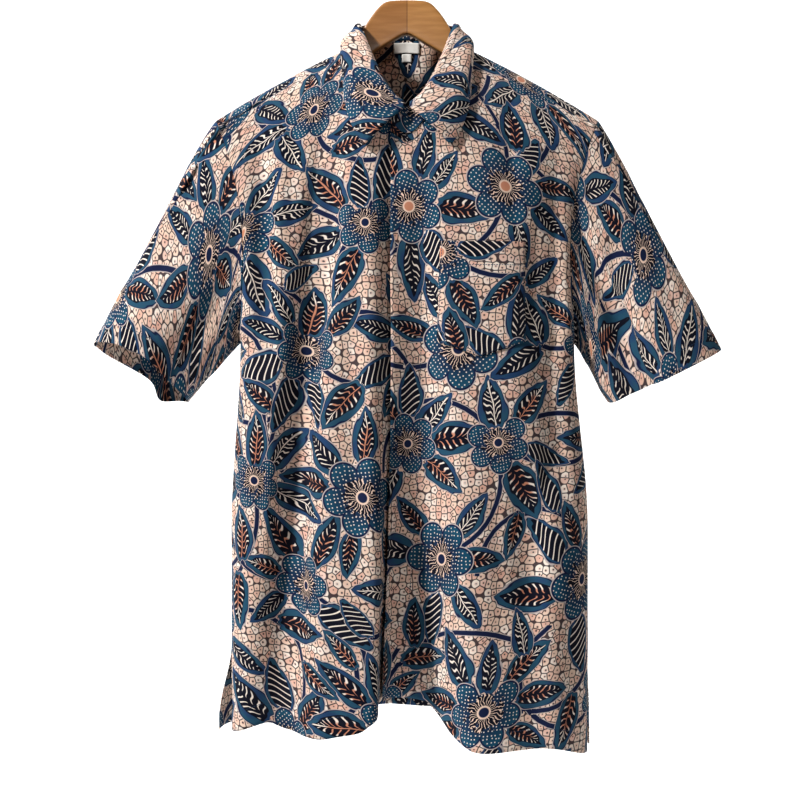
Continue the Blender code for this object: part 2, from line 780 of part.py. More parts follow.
def normals_of(rows):
    """Outward direction at each place of a front or back panel's rows."""
    found = []
    for r, row in enumerate(rows):
        line = []
        for c in range(len(row)):
            across = row[min(c + 1, len(row) - 1)] - row[max(c - 1, 0)]
            down = rows[min(r + 1, len(rows) - 1)][c] - rows[max(r - 1, 0)][c]
            line.append(down.cross(across).normalized())
        found.append(line)
    return found


def moved_out(rows, outward, first_row, last_row, first_column, last_column, distance):
    picked = []
    for r in range(first_row, last_row + 1):
        line = []
        for c in range(first_column, last_column + 1):
            line.append(rows[r][c] + outward[r][c] * distance)
        picked.append(line)
    return picked


def patch(rows, outward, row_places, column_places, distance):
    """Points over a panel at part-way rows and columns, moved off it."""
    picked = []
    for r in row_places:
        r0 = min(int(r), len(rows) - 2)
        line = []
        for c in column_places:
            c0 = min(int(c), len(rows[0]) - 2)
            corners = [rows[r0 + i][c0 + j] + outward[r0 + i][c0 + j] * distance
                       for i in (0, 1) for j in (0, 1)]
            above = corners[0].lerp(corners[1], c - c0)
            below = corners[2].lerp(corners[3], c - c0)
            line.append(above.lerp(below, r - r0))
        picked.append(line)
    return picked


def pocket_faces(block, below):
    """The pocket's pointed foot, between its last row and the row below."""
    faces = []
    width = len(block)
    middle = (width - 1) / 2
    for c in range(width - 1):
        depth_a = 1.0 - abs(c - middle) / middle
        depth_b = 1.0 - abs(c + 1 - middle) / middle
        corners = [block[c]]
        if depth_a > 1e-6:
            corners.append(block[c].lerp(below[c], depth_a))
        if depth_b > 1e-6:
            corners.append(block[c + 1].lerp(below[c + 1], depth_b))
        corners.append(block[c + 1])
        faces.append(corners)
    return faces


# ---- hanger ----------------------------------------------------------------
def hanger_top(x):
    x = abs(x)
    brow = HANGER_TOP_Z - HANGER_BROW * max(x - HANGER_TOP_HALF, 0.0) ** HANGER_BROW_POWER
    seat = WALL + 0.0008 + 0.0035 * (1.0 - smooth((x - NECK_HALF) / 0.03))
    return max(shoulder_z(x) - seat, brow)


def hanger_section(x):
    """A rounded section of the wood, half its top to half its foot."""
    half = mix(0.0054, top_round(x) - 0.0024, smooth((abs(x) - 0.062) / 0.035))
    top = hanger_top(x)
    foot = HANGER_PEAK_Z - 0.60 * abs(x) - 0.06 * x * x
    foot = min(foot, top - 0.020)
    end = smooth((HANGER_TIP - abs(x)) / 0.012)
    half *= mix(0.55, 1.0, end)
    top -= (1.0 - end) * 0.004
    foot += (1.0 - end) * 0.006
    bend = min(half * 0.9, (top - foot) * 0.45)
    points = []
    for angle in (90, 60, 30, 0):
        a = math.radians(angle)
        points.append((half * math.cos(a), top - bend + bend * math.sin(a)))
    for angle in (0, -45, -90):
        a = math.radians(angle)
        points.append((half - bend * 0.5 * (1 - math.cos(a)), foot + bend * 0.5 * (1 + math.sin(a))))
    right = points
    left = [(-y, z) for y, z in reversed(right) if y > 1e-6]
    return [Vector((x, y, z)) for y, z in right + left]


def wooden_hanger(collection, finish):
    stops = [0.0, 0.010, 0.019, 0.026, 0.033, 0.041, 0.049, 0.0605, 0.0680, 0.080, 0.100, 0.120,
             0.140, 0.160, 0.180, 0.195, 0.203, HANGER_TIP]
    across = [-x for x in reversed(stops[1:])] + stops
    wood = bmesh.new()
    rings = [[wood.verts.new(p) for p in hanger_section(x)] for x in across]
    count = len(rings[0])
    for a, b in zip(rings, rings[1:]):
        for i in range(count):
            j = (i + 1) % count
            wood.faces.new((a[i], b[i], b[j], a[j]))
    wood.faces.new(tuple(rings[0]))
    wood.faces.new(tuple(reversed(rings[-1])))
    bmesh.ops.recalc_face_normals(wood, faces=wood.faces)
    mesh = bpy.data.meshes.new("hanger_wood")
    wood.to_mesh(mesh)
    wood.free()
    made = new_object("hanger_wood", mesh, collection, finish)
    mesh.shade_smooth()
    mesh.set_sharp_from_angle(angle=math.radians(40))
    return made


def wire_hook(collection, finish):
    """The hook: a stem and most of a circle, with the origin inside its top."""
    curve = bpy.data.curves.new("hanger_hook", "CURVE")
    curve.dimensions = "3D"
    curve.bevel_depth = HOOK_WIRE_RADIUS
    curve.bevel_resolution = 2
    curve.use_fill_caps = True
    radius = HOOK_INNER_RADIUS + HOOK_WIRE_RADIUS
    centre_z = -HOOK_INNER_RADIUS
    route = [(0.0, 0.0, HANGER_TOP_Z + SEAM_GAP)]
    route.append((0.0, 0.0, HANGER_TOP_Z + 0.012))
    for degrees in range(-62, 206, 12):
        a = math.radians(degrees)
        route.append((radius * math.cos(a), 0.0, centre_z + radius * math.sin(a)))
    line = curve.splines.new("POLY")
    line.points.add(len(route) - 1)
    for point, place in zip(line.points, route):
        point.co = (*place, 1.0)
    return finish_piece(bpy.data.objects.new("hanger_hook", curve), collection, finish)


def hidden_button(index, placket_rows, outward, collection, finish):
    """A shirt button between the placket and the underlap."""
    goal = BUTTON_TOP_Z - index * BUTTON_PITCH
    heights = [(row[1].z + row[2].z) / 2 for row in placket_rows]
    row = max(r for r, z in enumerate(heights) if z > goal)
    row += (heights[row] - goal) / (heights[row] - heights[row + 1])
    lift = -(WALL + FLY_GAP / 2)
    ring = patch(placket_rows, outward, (row - 0.05, row + 0.05), (1.1, 1.9), lift)
    centre = (ring[0][0] + ring[0][1] + ring[1][0] + ring[1][1]) / 4
    out = (ring[0][0] - ring[1][1]).cross(ring[0][1] - ring[1][0]).normalized()
    turn = Vector((0.0, 0.0, 1.0)).rotation_difference(out).to_matrix().to_4x4()
    bpy.ops.mesh.primitive_cylinder_add(vertices=12, radius=BUTTON_RADIUS, depth=BUTTON_THICK)
    made = bpy.context.object
    made.name = "hidden_button_%d" % (index + 1)
    made.data.name = made.name
    made.matrix_world = Matrix.Translation(centre) @ turn
    for owner in list(made.users_collection):
        owner.objects.unlink(made)
    return finish_piece(made, collection, finish)


# ---- the whole part ----------------------------------------------------------
def clear_scene():
    for item in list(bpy.data.objects):
        bpy.data.objects.remove(item, do_unlink=True)


def build():
    clear_scene()
    shirt = bpy.data.collections.new("batik shirt on a hanger")
    bpy.context.scene.collection.children.link(shirt)
    strip = [mix(-PLACKET_HALF, PLACKET_HALF, index / 3) for index in range(4)]
    left_rows, names = half_panel("front", 1, strip)
    under_strip = list(reversed(strip)) + [-0.0185, -0.024, UNDER_RAMP[1]]
    right_rows, _ = half_panel("front", -1, under_strip, under=True)
    back_rows, back_names = back_panel()

    cloth("front_left", left_rows, shirt, BATIK)
    cloth("front_right", right_rows, shirt, BATIK, flip=True)
    cloth("back", back_rows, shirt, BATIK, flip=True)

    for side, name, front in ((-1, "sleeve_right", right_rows), (1, "sleeve_left", left_rows)):
        rows = sleeve_rows(side, front, back_rows)
        cloth(name, rows, shirt, BATIK, closed=True, flip=side > 0)

    cloth("collar_stand", stand_rows(), shirt, COLLAR_BATIK, wall=STAND_WALL)
    cloth("collar_leaf", leaf_rows(), shirt, COLLAR_BATIK, wall=LEAF_WALL)

    first = names.index(POCKET_ROWS[0])
    last = names.index(POCKET_ROWS[1])
    armpit_row = left_rows[names.index("upper 1.000")]
    inner = min(range(len(armpit_row)), key=lambda c: abs(armpit_row[c].x - 0.031))
    outer = min(range(len(armpit_row)), key=lambda c: abs(armpit_row[c].x - 0.126))
    outward = normals_of(left_rows)
    lift = POCKET_LIFT + WALL
    block = moved_out(left_rows, outward, first, last, inner, outer, lift)
    below = moved_out(left_rows, outward, last + 1, last + 1, inner, outer, lift)[0]
    share = POCKET_POINT / (block[-1][0] - below[0]).length
    foot = [a.lerp(b, share) for a, b in zip(block[-1], below)]
    cloth("pocket", block, shirt, BATIK, extra=pocket_faces(block[-1], foot))

    middle = len(back_rows[0]) // 2
    inward = [[n if n.y < 0 else -n for n in line] for line in normals_of(back_rows)]
    lift = WALL + LABEL_WALL + SEAM_GAP
    label = patch(back_rows, inward, LABEL_ROWS, (middle - 0.9, middle, middle + 0.9), lift)
    cloth("neck_label", label, shirt, WOVEN, wall=LABEL_WALL, flip=True)
    tab = patch(back_rows, inward, TAB_ROWS, (middle - 0.33, middle, middle + 0.33), lift - TAB_IN)
    cloth("size_tab", tab, shirt, WOVEN, wall=LABEL_WALL, flip=True)

    for index in range(BUTTON_COUNT):
        hidden_button(index, left_rows, outward, shirt, HORN)
    wooden_hanger(shirt, WOOD)
    wire_hook(shirt, STEEL)


build()
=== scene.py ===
"""Short-sleeved batik shirt on a contoured wooden hanger, dressed for the studio.

The cloth pieces are thin shells on the same form as the solids, with the print,
stitching and finer folds added. The shirt faces -Y and +Z is up.
"""

import json
import math
import random

import bpy
import numpy as np
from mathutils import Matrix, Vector, noise

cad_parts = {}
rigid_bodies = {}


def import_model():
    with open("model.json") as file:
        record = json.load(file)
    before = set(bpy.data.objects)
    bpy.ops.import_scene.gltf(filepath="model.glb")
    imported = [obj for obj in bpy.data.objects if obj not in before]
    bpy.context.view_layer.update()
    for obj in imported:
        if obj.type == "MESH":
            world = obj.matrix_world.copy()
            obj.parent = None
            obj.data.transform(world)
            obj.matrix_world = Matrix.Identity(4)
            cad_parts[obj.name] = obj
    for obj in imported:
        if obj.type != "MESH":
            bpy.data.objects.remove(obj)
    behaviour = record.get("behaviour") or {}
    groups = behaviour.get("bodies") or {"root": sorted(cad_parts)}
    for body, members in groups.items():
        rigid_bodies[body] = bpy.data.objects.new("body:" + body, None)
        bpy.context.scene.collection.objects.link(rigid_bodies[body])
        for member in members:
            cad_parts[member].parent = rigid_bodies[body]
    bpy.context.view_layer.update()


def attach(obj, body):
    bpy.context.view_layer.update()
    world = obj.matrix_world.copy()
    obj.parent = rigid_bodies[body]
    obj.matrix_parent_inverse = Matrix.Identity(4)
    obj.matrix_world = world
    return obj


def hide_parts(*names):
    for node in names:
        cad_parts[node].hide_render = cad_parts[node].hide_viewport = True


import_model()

# ---- driving sizes, in metres --------------------------------------------
# cloth wall of the solids, and the gap kept where two pieces are sewn together
WALL = 0.0012
SEAM_GAP = 0.0003

# neckline and shoulders
NECK_HALF = 0.062
NECK_POINT_Z = -0.1175
FRONT_NECK_DROP = 0.107
BACK_NECK_RISE = 0.023
BACK_CREST_RISE = 0.096
SHOULDER_TIP = 0.205
SHOULDER_FALL = 0.46
SHOULDER_BEND = 0.65
TOP_ROUND_NECK = 0.011
TOP_ROUND_TIP = 0.020
ROUND_SHARE = 0.9

# armholes
ARMPIT_Z = -0.4365
ARMPIT_HALF = 0.180
ARMHOLE_SCOOP = 0.018
MEAN_TOP_Z = -0.165
ROW_LEVELLING = 2.5
SEAM_DEPTH = 0.60
SEAM_FULLNESS = {"front": 1.35, "back": 1.00}

# the body's depth from the shoulder line's plane, and its width
CHEST_DEPTH = {"front": 0.056, "back": 0.048}
HEM_DEPTH = {"front": 0.068, "back": 0.054}
CHEST_Z = -0.26
HEM_Z = -0.850
BODY_FLARE = 0.010
RIGHT_FLARE = 0.005
FLARE_RUN = 0.20
DRAPE_RUN = 0.105
DRAPE_RUN_AT_TIP = 0.10
SECTION_POWERS = (8.0, 5.0)
SECTION_RUN = 0.25
FOLD_START = 0.015
FOLD_RUN = 0.06

# side vents: how far their edges lift and part
VENT_Z = -0.762
VENT_RUN = 0.080
VENT_REACH = 0.022
VENT_LIFT = {"front": 0.006, "back": 0.005}
VENT_PART = {"front": {-1: -0.002, 1: -0.002}, "back": {-1: 0.014, 1: 0.003}}

# fly front: the placket over the underlap
PLACKET_HALF = 0.017
FLY_GAP = 0.0026
UNDER_DROP = WALL + FLY_GAP
UNDER_RAMP = (-0.0185, -0.030)
UNDER_COLUMNS = (-0.0185, -0.022, -0.026, -0.030)
FLY_PLACES = (0.017, 0.0057, -0.0057, -0.017)
BACK_STRIP = 0.0165
BUTTON_COUNT = 6

# collar: the fold line over the stand, and the leaf's roll over it as (up, outwards)
LEAF_WALL = 0.0014
FOLD_HALF = 0.051
FOLD_SIDE_Z = -0.0953
FOLD_Z = {"front": -0.1945, "back": -0.073}
FOLD_IN = {"front": 0.97, "back": 0.85}
FOLD_CURVE = {"front": 1.75, "back": 2}
NECK_ANGLES = (24, 36, 48, 60, 71, 80, 86)
LEAF_LIFT = 0.0032
LEAF_FRONT_X = 0.003
LEAF_COLUMNS = 18
LEAF_ROLL = ((0.0032, -0.0004), (0.0024, 0.0042), (-0.0040, 0.0080))
LEAF_FALL = (0.30, 0.62, 1.0)
LEAF_BULGE = 0.0054
LEAF_LEVEL = 0.3

# chest pocket: its sides, its top and its foot
POCKET_LIFT = 0.0014
POCKET_MOUTH = 0.0012
POCKET_POINT = 0.016
POCKET_X = (0.0315, 0.1220)
POCKET_Z = (-0.3345, -0.4375)
POCKET_PRINT_SHIFT = (0.371, 0.217)

# woven pieces inside the back neck
LABEL_GAP = 0.0007
INSIDE_PATCHES = (
    # name, half width, top, foot, steps across and down, wall
    ("neck_label", 0.0150, -0.0965, -0.1080, 10, 0.0005),
    ("size_tab", 0.0056, -0.1090, -0.1180, 6, 0.0004),
)

# turnings and rows of stitches, from the cloth's edges, and the shells' walls
HEM_TURN = 0.020
COLLAR_STITCH = 0.006
POCKET_STITCH = 0.0018
POCKET_HEM = 0.024
PLACKET_TURN = 0.034
TURNED_LIFT = 0.0004
SHEET_WALL = 0.0007
STAND_SHEET_WALL = 0.0011
LEAF_SHEET_WALL = 0.0012
FOLD_EDGE = 0.0022
PLACKET_EDGE = 0.002

# the cloth's soft unevenness: noise scales across and down, share of the depth,
# and whether the piece's seed moves the noise across or down
RUMPLES = (
    (21, 7, 0.62, 1, 0),
    (55, 34, 0.22, 0, 1),
    (130, 120, 0.07, 1, 0),
)
RUMPLE_DEPTH = 0.0013
LEAF_RUMPLE_DEPTH = 0.0005
RUMPLE_SEEDS = {
    "front_left": 11, "front_right": 23, "back": 43, "sleeve_right": 51, "sleeve_left": 68,
    "collar_leaf": 5,
}
# rows and columns from a seam over which the unevenness fades out
SEAM_CALM = 7.0

# hem height of the front, from the wearer's right side to the left side
FRONT_HEM = (
    # across, height
    (-0.191, -0.8500),
    (-0.148, -0.8370),
    (-0.126, -0.8450),
    (-0.096, -0.8470),
    (-0.066, -0.8420),
    (-0.048, -0.8380),
    (-0.036, -0.8300),
    (-0.018, -0.8220),
    (0.018, -0.8215),
    (0.038, -0.8275),
    (0.054, -0.8500),
    (0.068, -0.8590),
    (0.114, -0.8590),
    (0.155, -0.8590),
    (0.195, -0.8720),
)
BACK_HEM = (
    # across, height
    (-0.191, -0.8560),
    (-0.120, -0.8430),
    (0.000, -0.8400),
    (0.120, -0.8450),
    (0.195, -0.8720),
)

# the largest folds, each with its power, its sideways shift and its route down the
# cloth: below the hook, across, widths to the left and right, and how far it goes in
# (a ridge is negative)
DROP, ACROSS, LEFT, RIGHT, DEPTH = range(5)
FOLD_REACH = 0.13
SHIFTING_DEPTH = 0.080
FRONT_FOLDS = (
    ("centre valley", 4.0, -0.016, (
        (0.450, 0.0040, 0.022, 0.030, 0.000),
        (0.550, 0.0045, 0.023, 0.032, 0.008),
        (0.650, 0.0050, 0.025, 0.037, 0.029),
        (0.750, 0.0055, 0.028, 0.042, 0.053),
        (0.860, 0.0060, 0.030, 0.047, 0.081),
    )),
    ("upper centre valley", 2.0, 0.0, (
        (0.215, 0.0105, 0.024, 0.014, 0.000),
        (0.275, 0.0125, 0.026, 0.014, 0.005),
        (0.335, 0.0145, 0.027, 0.014, 0.012),
        (0.420, 0.0170, 0.030, 0.015, 0.018),
        (0.520, 0.0210, 0.035, 0.018, 0.019),
        (0.600, 0.0250, 0.040, 0.022, 0.012),
        (0.690, 0.0270, 0.042, 0.024, 0.000),
    )),
    ("long right-side valley", 1.8, 0.0, (
        (0.165, -0.0700, 0.014, 0.010, 0.000),
        (0.225, -0.0730, 0.015, 0.010, 0.007),
        (0.325, -0.0810, 0.017, 0.011, 0.012),
        (0.410, -0.0920, 0.020, 0.012, 0.015),
        (0.500, -0.1060, 0.022, 0.013, 0.019),
        (0.600, -0.1110, 0.026, 0.015, 0.025),
        (0.700, -0.1180, 0.036, 0.019, 0.031),
        (0.860, -0.1260, 0.050, 0.023, 0.036),
    )),
    ("right armhole valley", 2.0, 0.0, (
        (0.190, -0.1560, 0.014, 0.008, 0.000),
        (0.240, -0.1540, 0.016, 0.009, 0.008),
        (0.330, -0.1520, 0.018, 0.010, 0.012),
        (0.420, -0.1500, 0.018, 0.011, 0.010),
        (0.500, -0.1480, 0.018, 0.012, 0.000),
    )),
    ("placket ridge", 2.0, 0.0, (
        (0.280, -0.0380, 0.010, 0.010, 0.000),
        (0.350, -0.0380, 0.010, 0.010, -0.004),
        (0.620, -0.0370, 0.011, 0.010, -0.006),
        (0.710, -0.0370, 0.011, 0.010, 0.000),
    )),
    ("left armhole valley", 2.0, 0.0, (
        (0.285, 0.1560, 0.018, 0.020, 0.000),
        (0.335, 0.1560, 0.030, 0.020, 0.009),
        (0.385, 0.1580, 0.036, 0.020, 0.015),
        (0.430, 0.1600, 0.034, 0.016, 0.014),
        (0.500, 0.1630, 0.026, 0.013, 0.011),
        (0.570, 0.1680, 0.024, 0.012, 0.008),
        (0.640, 0.1700, 0.024, 0.012, 0.000),
    )),
    ("left hip valley", 2.0, 0.0, (
        (0.530, 0.1180, 0.024, 0.013, 0.000),
        (0.590, 0.1220, 0.026, 0.013, 0.008),
        (0.660, 0.1260, 0.028, 0.014, 0.012),
        (0.730, 0.1280, 0.030, 0.015, 0.011),
        (0.860, 0.1320, 0.032, 0.018, 0.009),
    )),
)
BACK_FOLDS = (
    ("back right valley", 2.0, 0.0, (
        (0.210, -0.0900, 0.030, 0.032, 0.000),
        (0.300, -0.0890, 0.030, 0.032, 0.006),
        (0.450, -0.0860, 0.032, 0.034, 0.012),
        (0.650, -0.0820, 0.034, 0.037, 0.022),
        (0.860, -0.0780, 0.036, 0.040, 0.034),
    )),
    ("back middle valley", 2.0, 0.0, (
        (0.280, 0.0060, 0.028, 0.028, 0.000),
        (0.380, 0.0080, 0.028, 0.028, 0.004),
        (0.600, 0.0140, 0.029, 0.031, 0.009),
        (0.860, 0.0220, 0.030, 0.036, 0.015),
    )),
    ("back left valley", 2.0, 0.0, (
        (0.190, 0.1000, 0.032, 0.030, 0.000),
        (0.280, 0.0990, 0.032, 0.030, 0.007),
        (0.450, 0.0980, 0.033, 0.031, 0.013),
        (0.650, 0.0950, 0.035, 0.033, 0.024),
        (0.860, 0.0920, 0.036, 0.034, 0.036),
    )),
)

# each sleeve's open end, and its folds by their angle round it (0 is the top edge)
CUFFS = {
    -1: {"top": (-0.3366, -0.4405), "bottom": (-0.237, -0.499), "front": 0.052, "back": 0.044,
         "tilt": 0.013, "bow": 0.008, "flap": 0.018, "pull": 0.040, "push": 0.130},
    1: {"top": (0.3360, -0.4430), "bottom": (0.218, -0.502), "front": 0.050, "back": 0.044,
        "tilt": -0.002, "bow": 0.002, "flap": 0.0, "pull": 0.025, "push": 0.085},
}
CUFF_FLATNESS = 0.65
FLAP_ANGLE = 236.0
FLAP_WIDTH = 20.0
# which way the cloth runs, as (outwards, down): from the armpit, and at the cuff's top
# and its underside; and where round the sleeve the armpit's way takes over
ARMPIT_WAY = (0.66, 0.75)
ARMPIT_TURN = (0.52, 0.44)
CUFF_WAYS = ((0.40, 0.92), (0.60, 0.75))
UNDER_PULL = 0.030
UNDER_PUSH = 0.040
# a sleeve fold's route: along the sleeve, angle, widths over and under it, depth
SLEEVE_FOLDS = {
    -1: (("front crease", (
        (0.00, 118.0, 16.0, 24.0, 0.000),
        (0.50, 126.0, 16.0, 24.0, 0.008),
        (1.00, 128.0, 20.0, 26.0, 0.011),
    )), ("back crease", (
        (0.00, 235.0, 26.0, 26.0, 0.000),
        (0.50, 235.0, 26.0, 26.0, 0.006),
        (1.00, 235.0, 26.0, 26.0, 0.012),
    ))),
    1: (("front valley", (
        (0.00, 92.0, 12.0, 20.0, 0.000),
        (0.15, 96.0, 12.0, 20.0, 0.006),
        (0.45, 112.0, 12.0, 21.0, 0.014),
        (0.80, 122.0, 13.0, 22.0, 0.019),
        (1.00, 124.0, 15.0, 23.0, 0.021),
    )), ("back crease", (
        (0.00, 240.0, 26.0, 26.0, 0.000),
        (0.50, 240.0, 26.0, 26.0, 0.008),
        (1.00, 240.0, 26.0, 26.0, 0.012),
    ))),
}

# the sharper small creases: name, the line they run along, widths, depth
FRONT_CREASES = (
    ("long valley, upper", -0.088, -0.190, -0.102, -0.440, 0.030, 0.012, 0.0130),
    ("long valley, lower", -0.102, -0.380, -0.138, -0.840, 0.030, 0.012, 0.0130),
    ("right armhole", -0.150, -0.240, -0.150, -0.440, 0.014, 0.009, 0.0060),
    ("left armhole", 0.158, -0.230, 0.158, -0.450, 0.026, 0.009, 0.0070),
    ("beyond the pocket", 0.158, -0.380, 0.150, -0.600, 0.018, 0.008, 0.0050),
    ("left hip, outer", 0.152, -0.540, 0.124, -0.730, 0.022, 0.010, 0.0070),
    ("beside the placket", -0.011, -0.215, -0.009, -0.400, 0.013, 0.006, 0.0034),
    ("chest, left", 0.108, -0.170, 0.113, -0.340, 0.012, 0.006, 0.0034),
    ("pocket side", 0.137, -0.300, 0.128, -0.450, 0.012, 0.007, 0.0028),
    ("left armpit", 0.168, -0.415, 0.104, -0.545, 0.010, 0.006, 0.0030),
    ("left side", 0.160, -0.500, 0.166, -0.640, 0.012, 0.006, 0.0040),
    ("left hip", 0.090, -0.560, 0.098, -0.760, 0.012, 0.008, 0.0030),
    ("left foot", 0.176, -0.700, 0.170, -0.860, 0.020, 0.008, 0.0045),
    ("right armpit", -0.170, -0.420, -0.128, -0.520, 0.007, 0.010, 0.0030),
    ("right chest", -0.118, -0.160, -0.122, -0.330, 0.010, 0.006, 0.0026),
    ("right side", -0.150, -0.480, -0.158, -0.700, 0.013, 0.007, 0.0036),
    ("right waist", -0.060, -0.420, -0.054, -0.600, 0.010, 0.006, 0.0026),
    ("right foot", -0.080, -0.700, -0.072, -0.850, 0.014, 0.007, 0.0034),
)
BACK_CREASES = (
    ("back, left", 0.046, -0.260, 0.050, -0.700, 0.010, 0.014, 0.0030),
    ("back, right", -0.040, -0.300, -0.036, -0.760, 0.014, 0.009, 0.0032),
    ("back left armpit", 0.160, -0.400, 0.128, -0.540, 0.008, 0.012, 0.0032),
    ("back right armpit", -0.162, -0.400, -0.126, -0.560, 0.012, 0.008, 0.0032),
    ("back right foot", -0.140, -0.620, -0.146, -0.850, 0.014, 0.008, 0.0036),
    ("back left foot", 0.140, -0.600, 0.150, -0.860, 0.008, 0.014, 0.0036),
)
SLEEVE_CREASES = {
    -1: (("under the shoulder", -0.222, -0.250, -0.262, -0.372, 0.010, 0.016, 0.0036),
         ("sleeve side", -0.250, -0.245, -0.305, -0.380, 0.008, 0.012, 0.0028),
         ("near the armpit", -0.190, -0.380, -0.236, -0.470, 0.007, 0.010, 0.0030)),
    1: (("inner fold", 0.214, -0.330, 0.240, -0.520, 0.020, 0.012, 0.0100),
        ("under the shoulder", 0.226, -0.270, 0.292, -0.420, 0.014, 0.008, 0.0032),
        ("sleeve side", 0.246, -0.250, 0.312, -0.390, 0.012, 0.008, 0.0026),
        ("near the armpit", 0.188, -0.385, 0.222, -0.480, 0.010, 0.007, 0.0030)),
}

# the collar leaf's outer edge, from its point round to the back of the neck
LEAF_EDGE = (
    # side, x, y where it is clear of the front (None where it lies on it), z
    ("point", 0.0447, None, -0.2361),
    ("below the point", 0.0561, None, -0.2170),
    ("chest", 0.0640, None, -0.1914),
    ("front shoulder", 0.0675, None, -0.1560),
    ("front of the seam", 0.0700, None, -0.1320),
    ("shoulder seam", 0.0700, 0.000, -0.1190),
    ("back shoulder", 0.0610, 0.032, -0.1140),
    ("back side", 0.0350, 0.050, -0.1130),
    ("back middle", 0.0000, 0.0545, -0.1130),
)

# ---- how finely the rows and columns are spaced --------------------------
ROUND_ANGLES = (0.0, 0.10, 0.25, 0.45, 0.68, 0.92, 1.22, 1.57)
UPPER_LEVELS = tuple(0.055 + 0.945 * index / 60 for index in range(61))
LOWER_LEVELS = tuple((index + 1) / 96 for index in range(96))
NECK_COLUMNS = {"front": 12, "back": 12}
SHOULDER_COLUMNS = {"front": 44, "back": 42}
SLEEVE_RINGS = tuple([0.0, 0.006] + [0.02 + 0.98 * index / 66 for index in range(67)])
FINE_STEPS = 260


# ---- small helpers -------------------------------------------------------
def clamp(value, low=0.0, high=1.0):
    return max(low, min(high, value))


def smooth(value):
    value = clamp(value)
    return value * value * (3.0 - 2.0 * value)


def ease(value):
    value = clamp(value)
    return 1.0 - (1.0 - value) ** 2


def mix(a, b, share):
    return a + (b - a) * share


def curve(start, end, leaving, arriving, u):
    """A cubic from start to end that leaves and arrives in the given ways."""
    return (start * (2 * u ** 3 - 3 * u ** 2 + 1) + leaving * (u ** 3 - 2 * u ** 2 + u)
            + end * (3 * u ** 2 - 2 * u ** 3) + arriving * (u ** 3 - u ** 2))


def spline(table, position):
    """Smooth curve through a table's rows of (position, value)."""
    if position <= table[0][0]:
        return table[0][1]
    if position >= table[-1][0]:
        return table[-1][1]
    index = 0
    while position > table[index + 1][0]:
        index += 1
    before = table[max(index - 1, 0)]
    start, end = table[index], table[index + 1]
    after = table[min(index + 2, len(table) - 1)]
    span = end[0] - start[0]
    slope_start = (end[1] - before[1]) / (end[0] - before[0])
    slope_end = (after[1] - start[1]) / (after[0] - start[0])
    u = (position - start[0]) / span
    return curve(start[1], end[1], span * slope_start, span * slope_end, u)


def resample(points, shares):
    """Points at the given shares of a polyline's length."""
    points = [Vector(p) for p in points]
    lengths = [0.0]
    for a, b in zip(points, points[1:]):
        lengths.append(lengths[-1] + (b - a).length)
    found = []
    for share in shares:
        goal = share * lengths[-1]
        index = int(np.searchsorted(lengths, goal, side="right")) - 1
        index = max(0, min(index, len(points) - 2))
        span = lengths[index + 1] - lengths[index]
        found.append(points[index].lerp(points[index + 1], (goal - lengths[index]) / span))
    return found


# ---- the garment's form --------------------------------------------------
def shoulder_z(x):
    out = max(abs(x) - NECK_HALF, 0.0)
    return NECK_POINT_Z - SHOULDER_FALL * out - SHOULDER_BEND * out * out


def crest_z(face, x):
    """Height that the drop to the chest is measured from."""
    if face == "front" or abs(x) >= NECK_HALF:
        return shoulder_z(x)
    return NECK_POINT_Z + BACK_CREST_RISE * (1.0 - (abs(x) / NECK_HALF) ** 2)


def neckline_z(face, x):
    across = min(abs(x) / NECK_HALF, 1.0)
    if face == "front":
        return NECK_POINT_Z - FRONT_NECK_DROP * (1.0 - across ** 1.5)
    return NECK_POINT_Z + BACK_NECK_RISE * (1.0 - across ** 2)


def top_round(x):
    return mix(TOP_ROUND_NECK, TOP_ROUND_TIP, min(abs(x) / SHOULDER_TIP, 1.0) ** 2)


def drape_depth(face, x, z):
    """How far a face of the body stands from the shoulder line's plane."""
    drop = max(crest_z(face, x) - z, 0.0)
    radius = top_round(x)
    lean = clamp((CHEST_Z - z) / (CHEST_Z - HEM_Z))
    full = mix(CHEST_DEPTH[face], HEM_DEPTH[face], lean)
    turn = clamp(drop / (ROUND_SHARE * radius))
    run = DRAPE_RUN + DRAPE_RUN_AT_TIP * min(abs(x) / SHOULDER_TIP, 1.0)
    return radius * math.sqrt(1.0 - (1.0 - turn) ** 2) + (full - radius) * ease(drop / run)


def body_half(side, z):
    below = smooth((ARMPIT_Z - z) / FLARE_RUN)
    extra = RIGHT_FLARE if side > 0 else 0.0
    return ARMPIT_HALF + (BODY_FLARE + extra) * below


def on_route(route, column, drop):
    """One column of a fold's route, read at a distance below the hook."""
    return spline([(row[DROP], row[column]) for row in route], drop)


def fold_at(folds, x, z):
    """Inward depth and sideways shift of all the folds at a place."""
    depth = 0.0
    shift = 0.0
    for _, power, sideways, route in folds:
        if -z < route[0][DROP]:
            continue
        away = x - on_route(route, ACROSS, -z)
        if abs(away) > FOLD_REACH:
            continue
        width = on_route(route, LEFT if away < 0.0 else RIGHT, -z)
        inward = on_route(route, DEPTH, -z) * math.exp(-abs(away / width) ** power)
        depth += inward
        shift += sideways * inward / SHIFTING_DEPTH
    return depth, shift


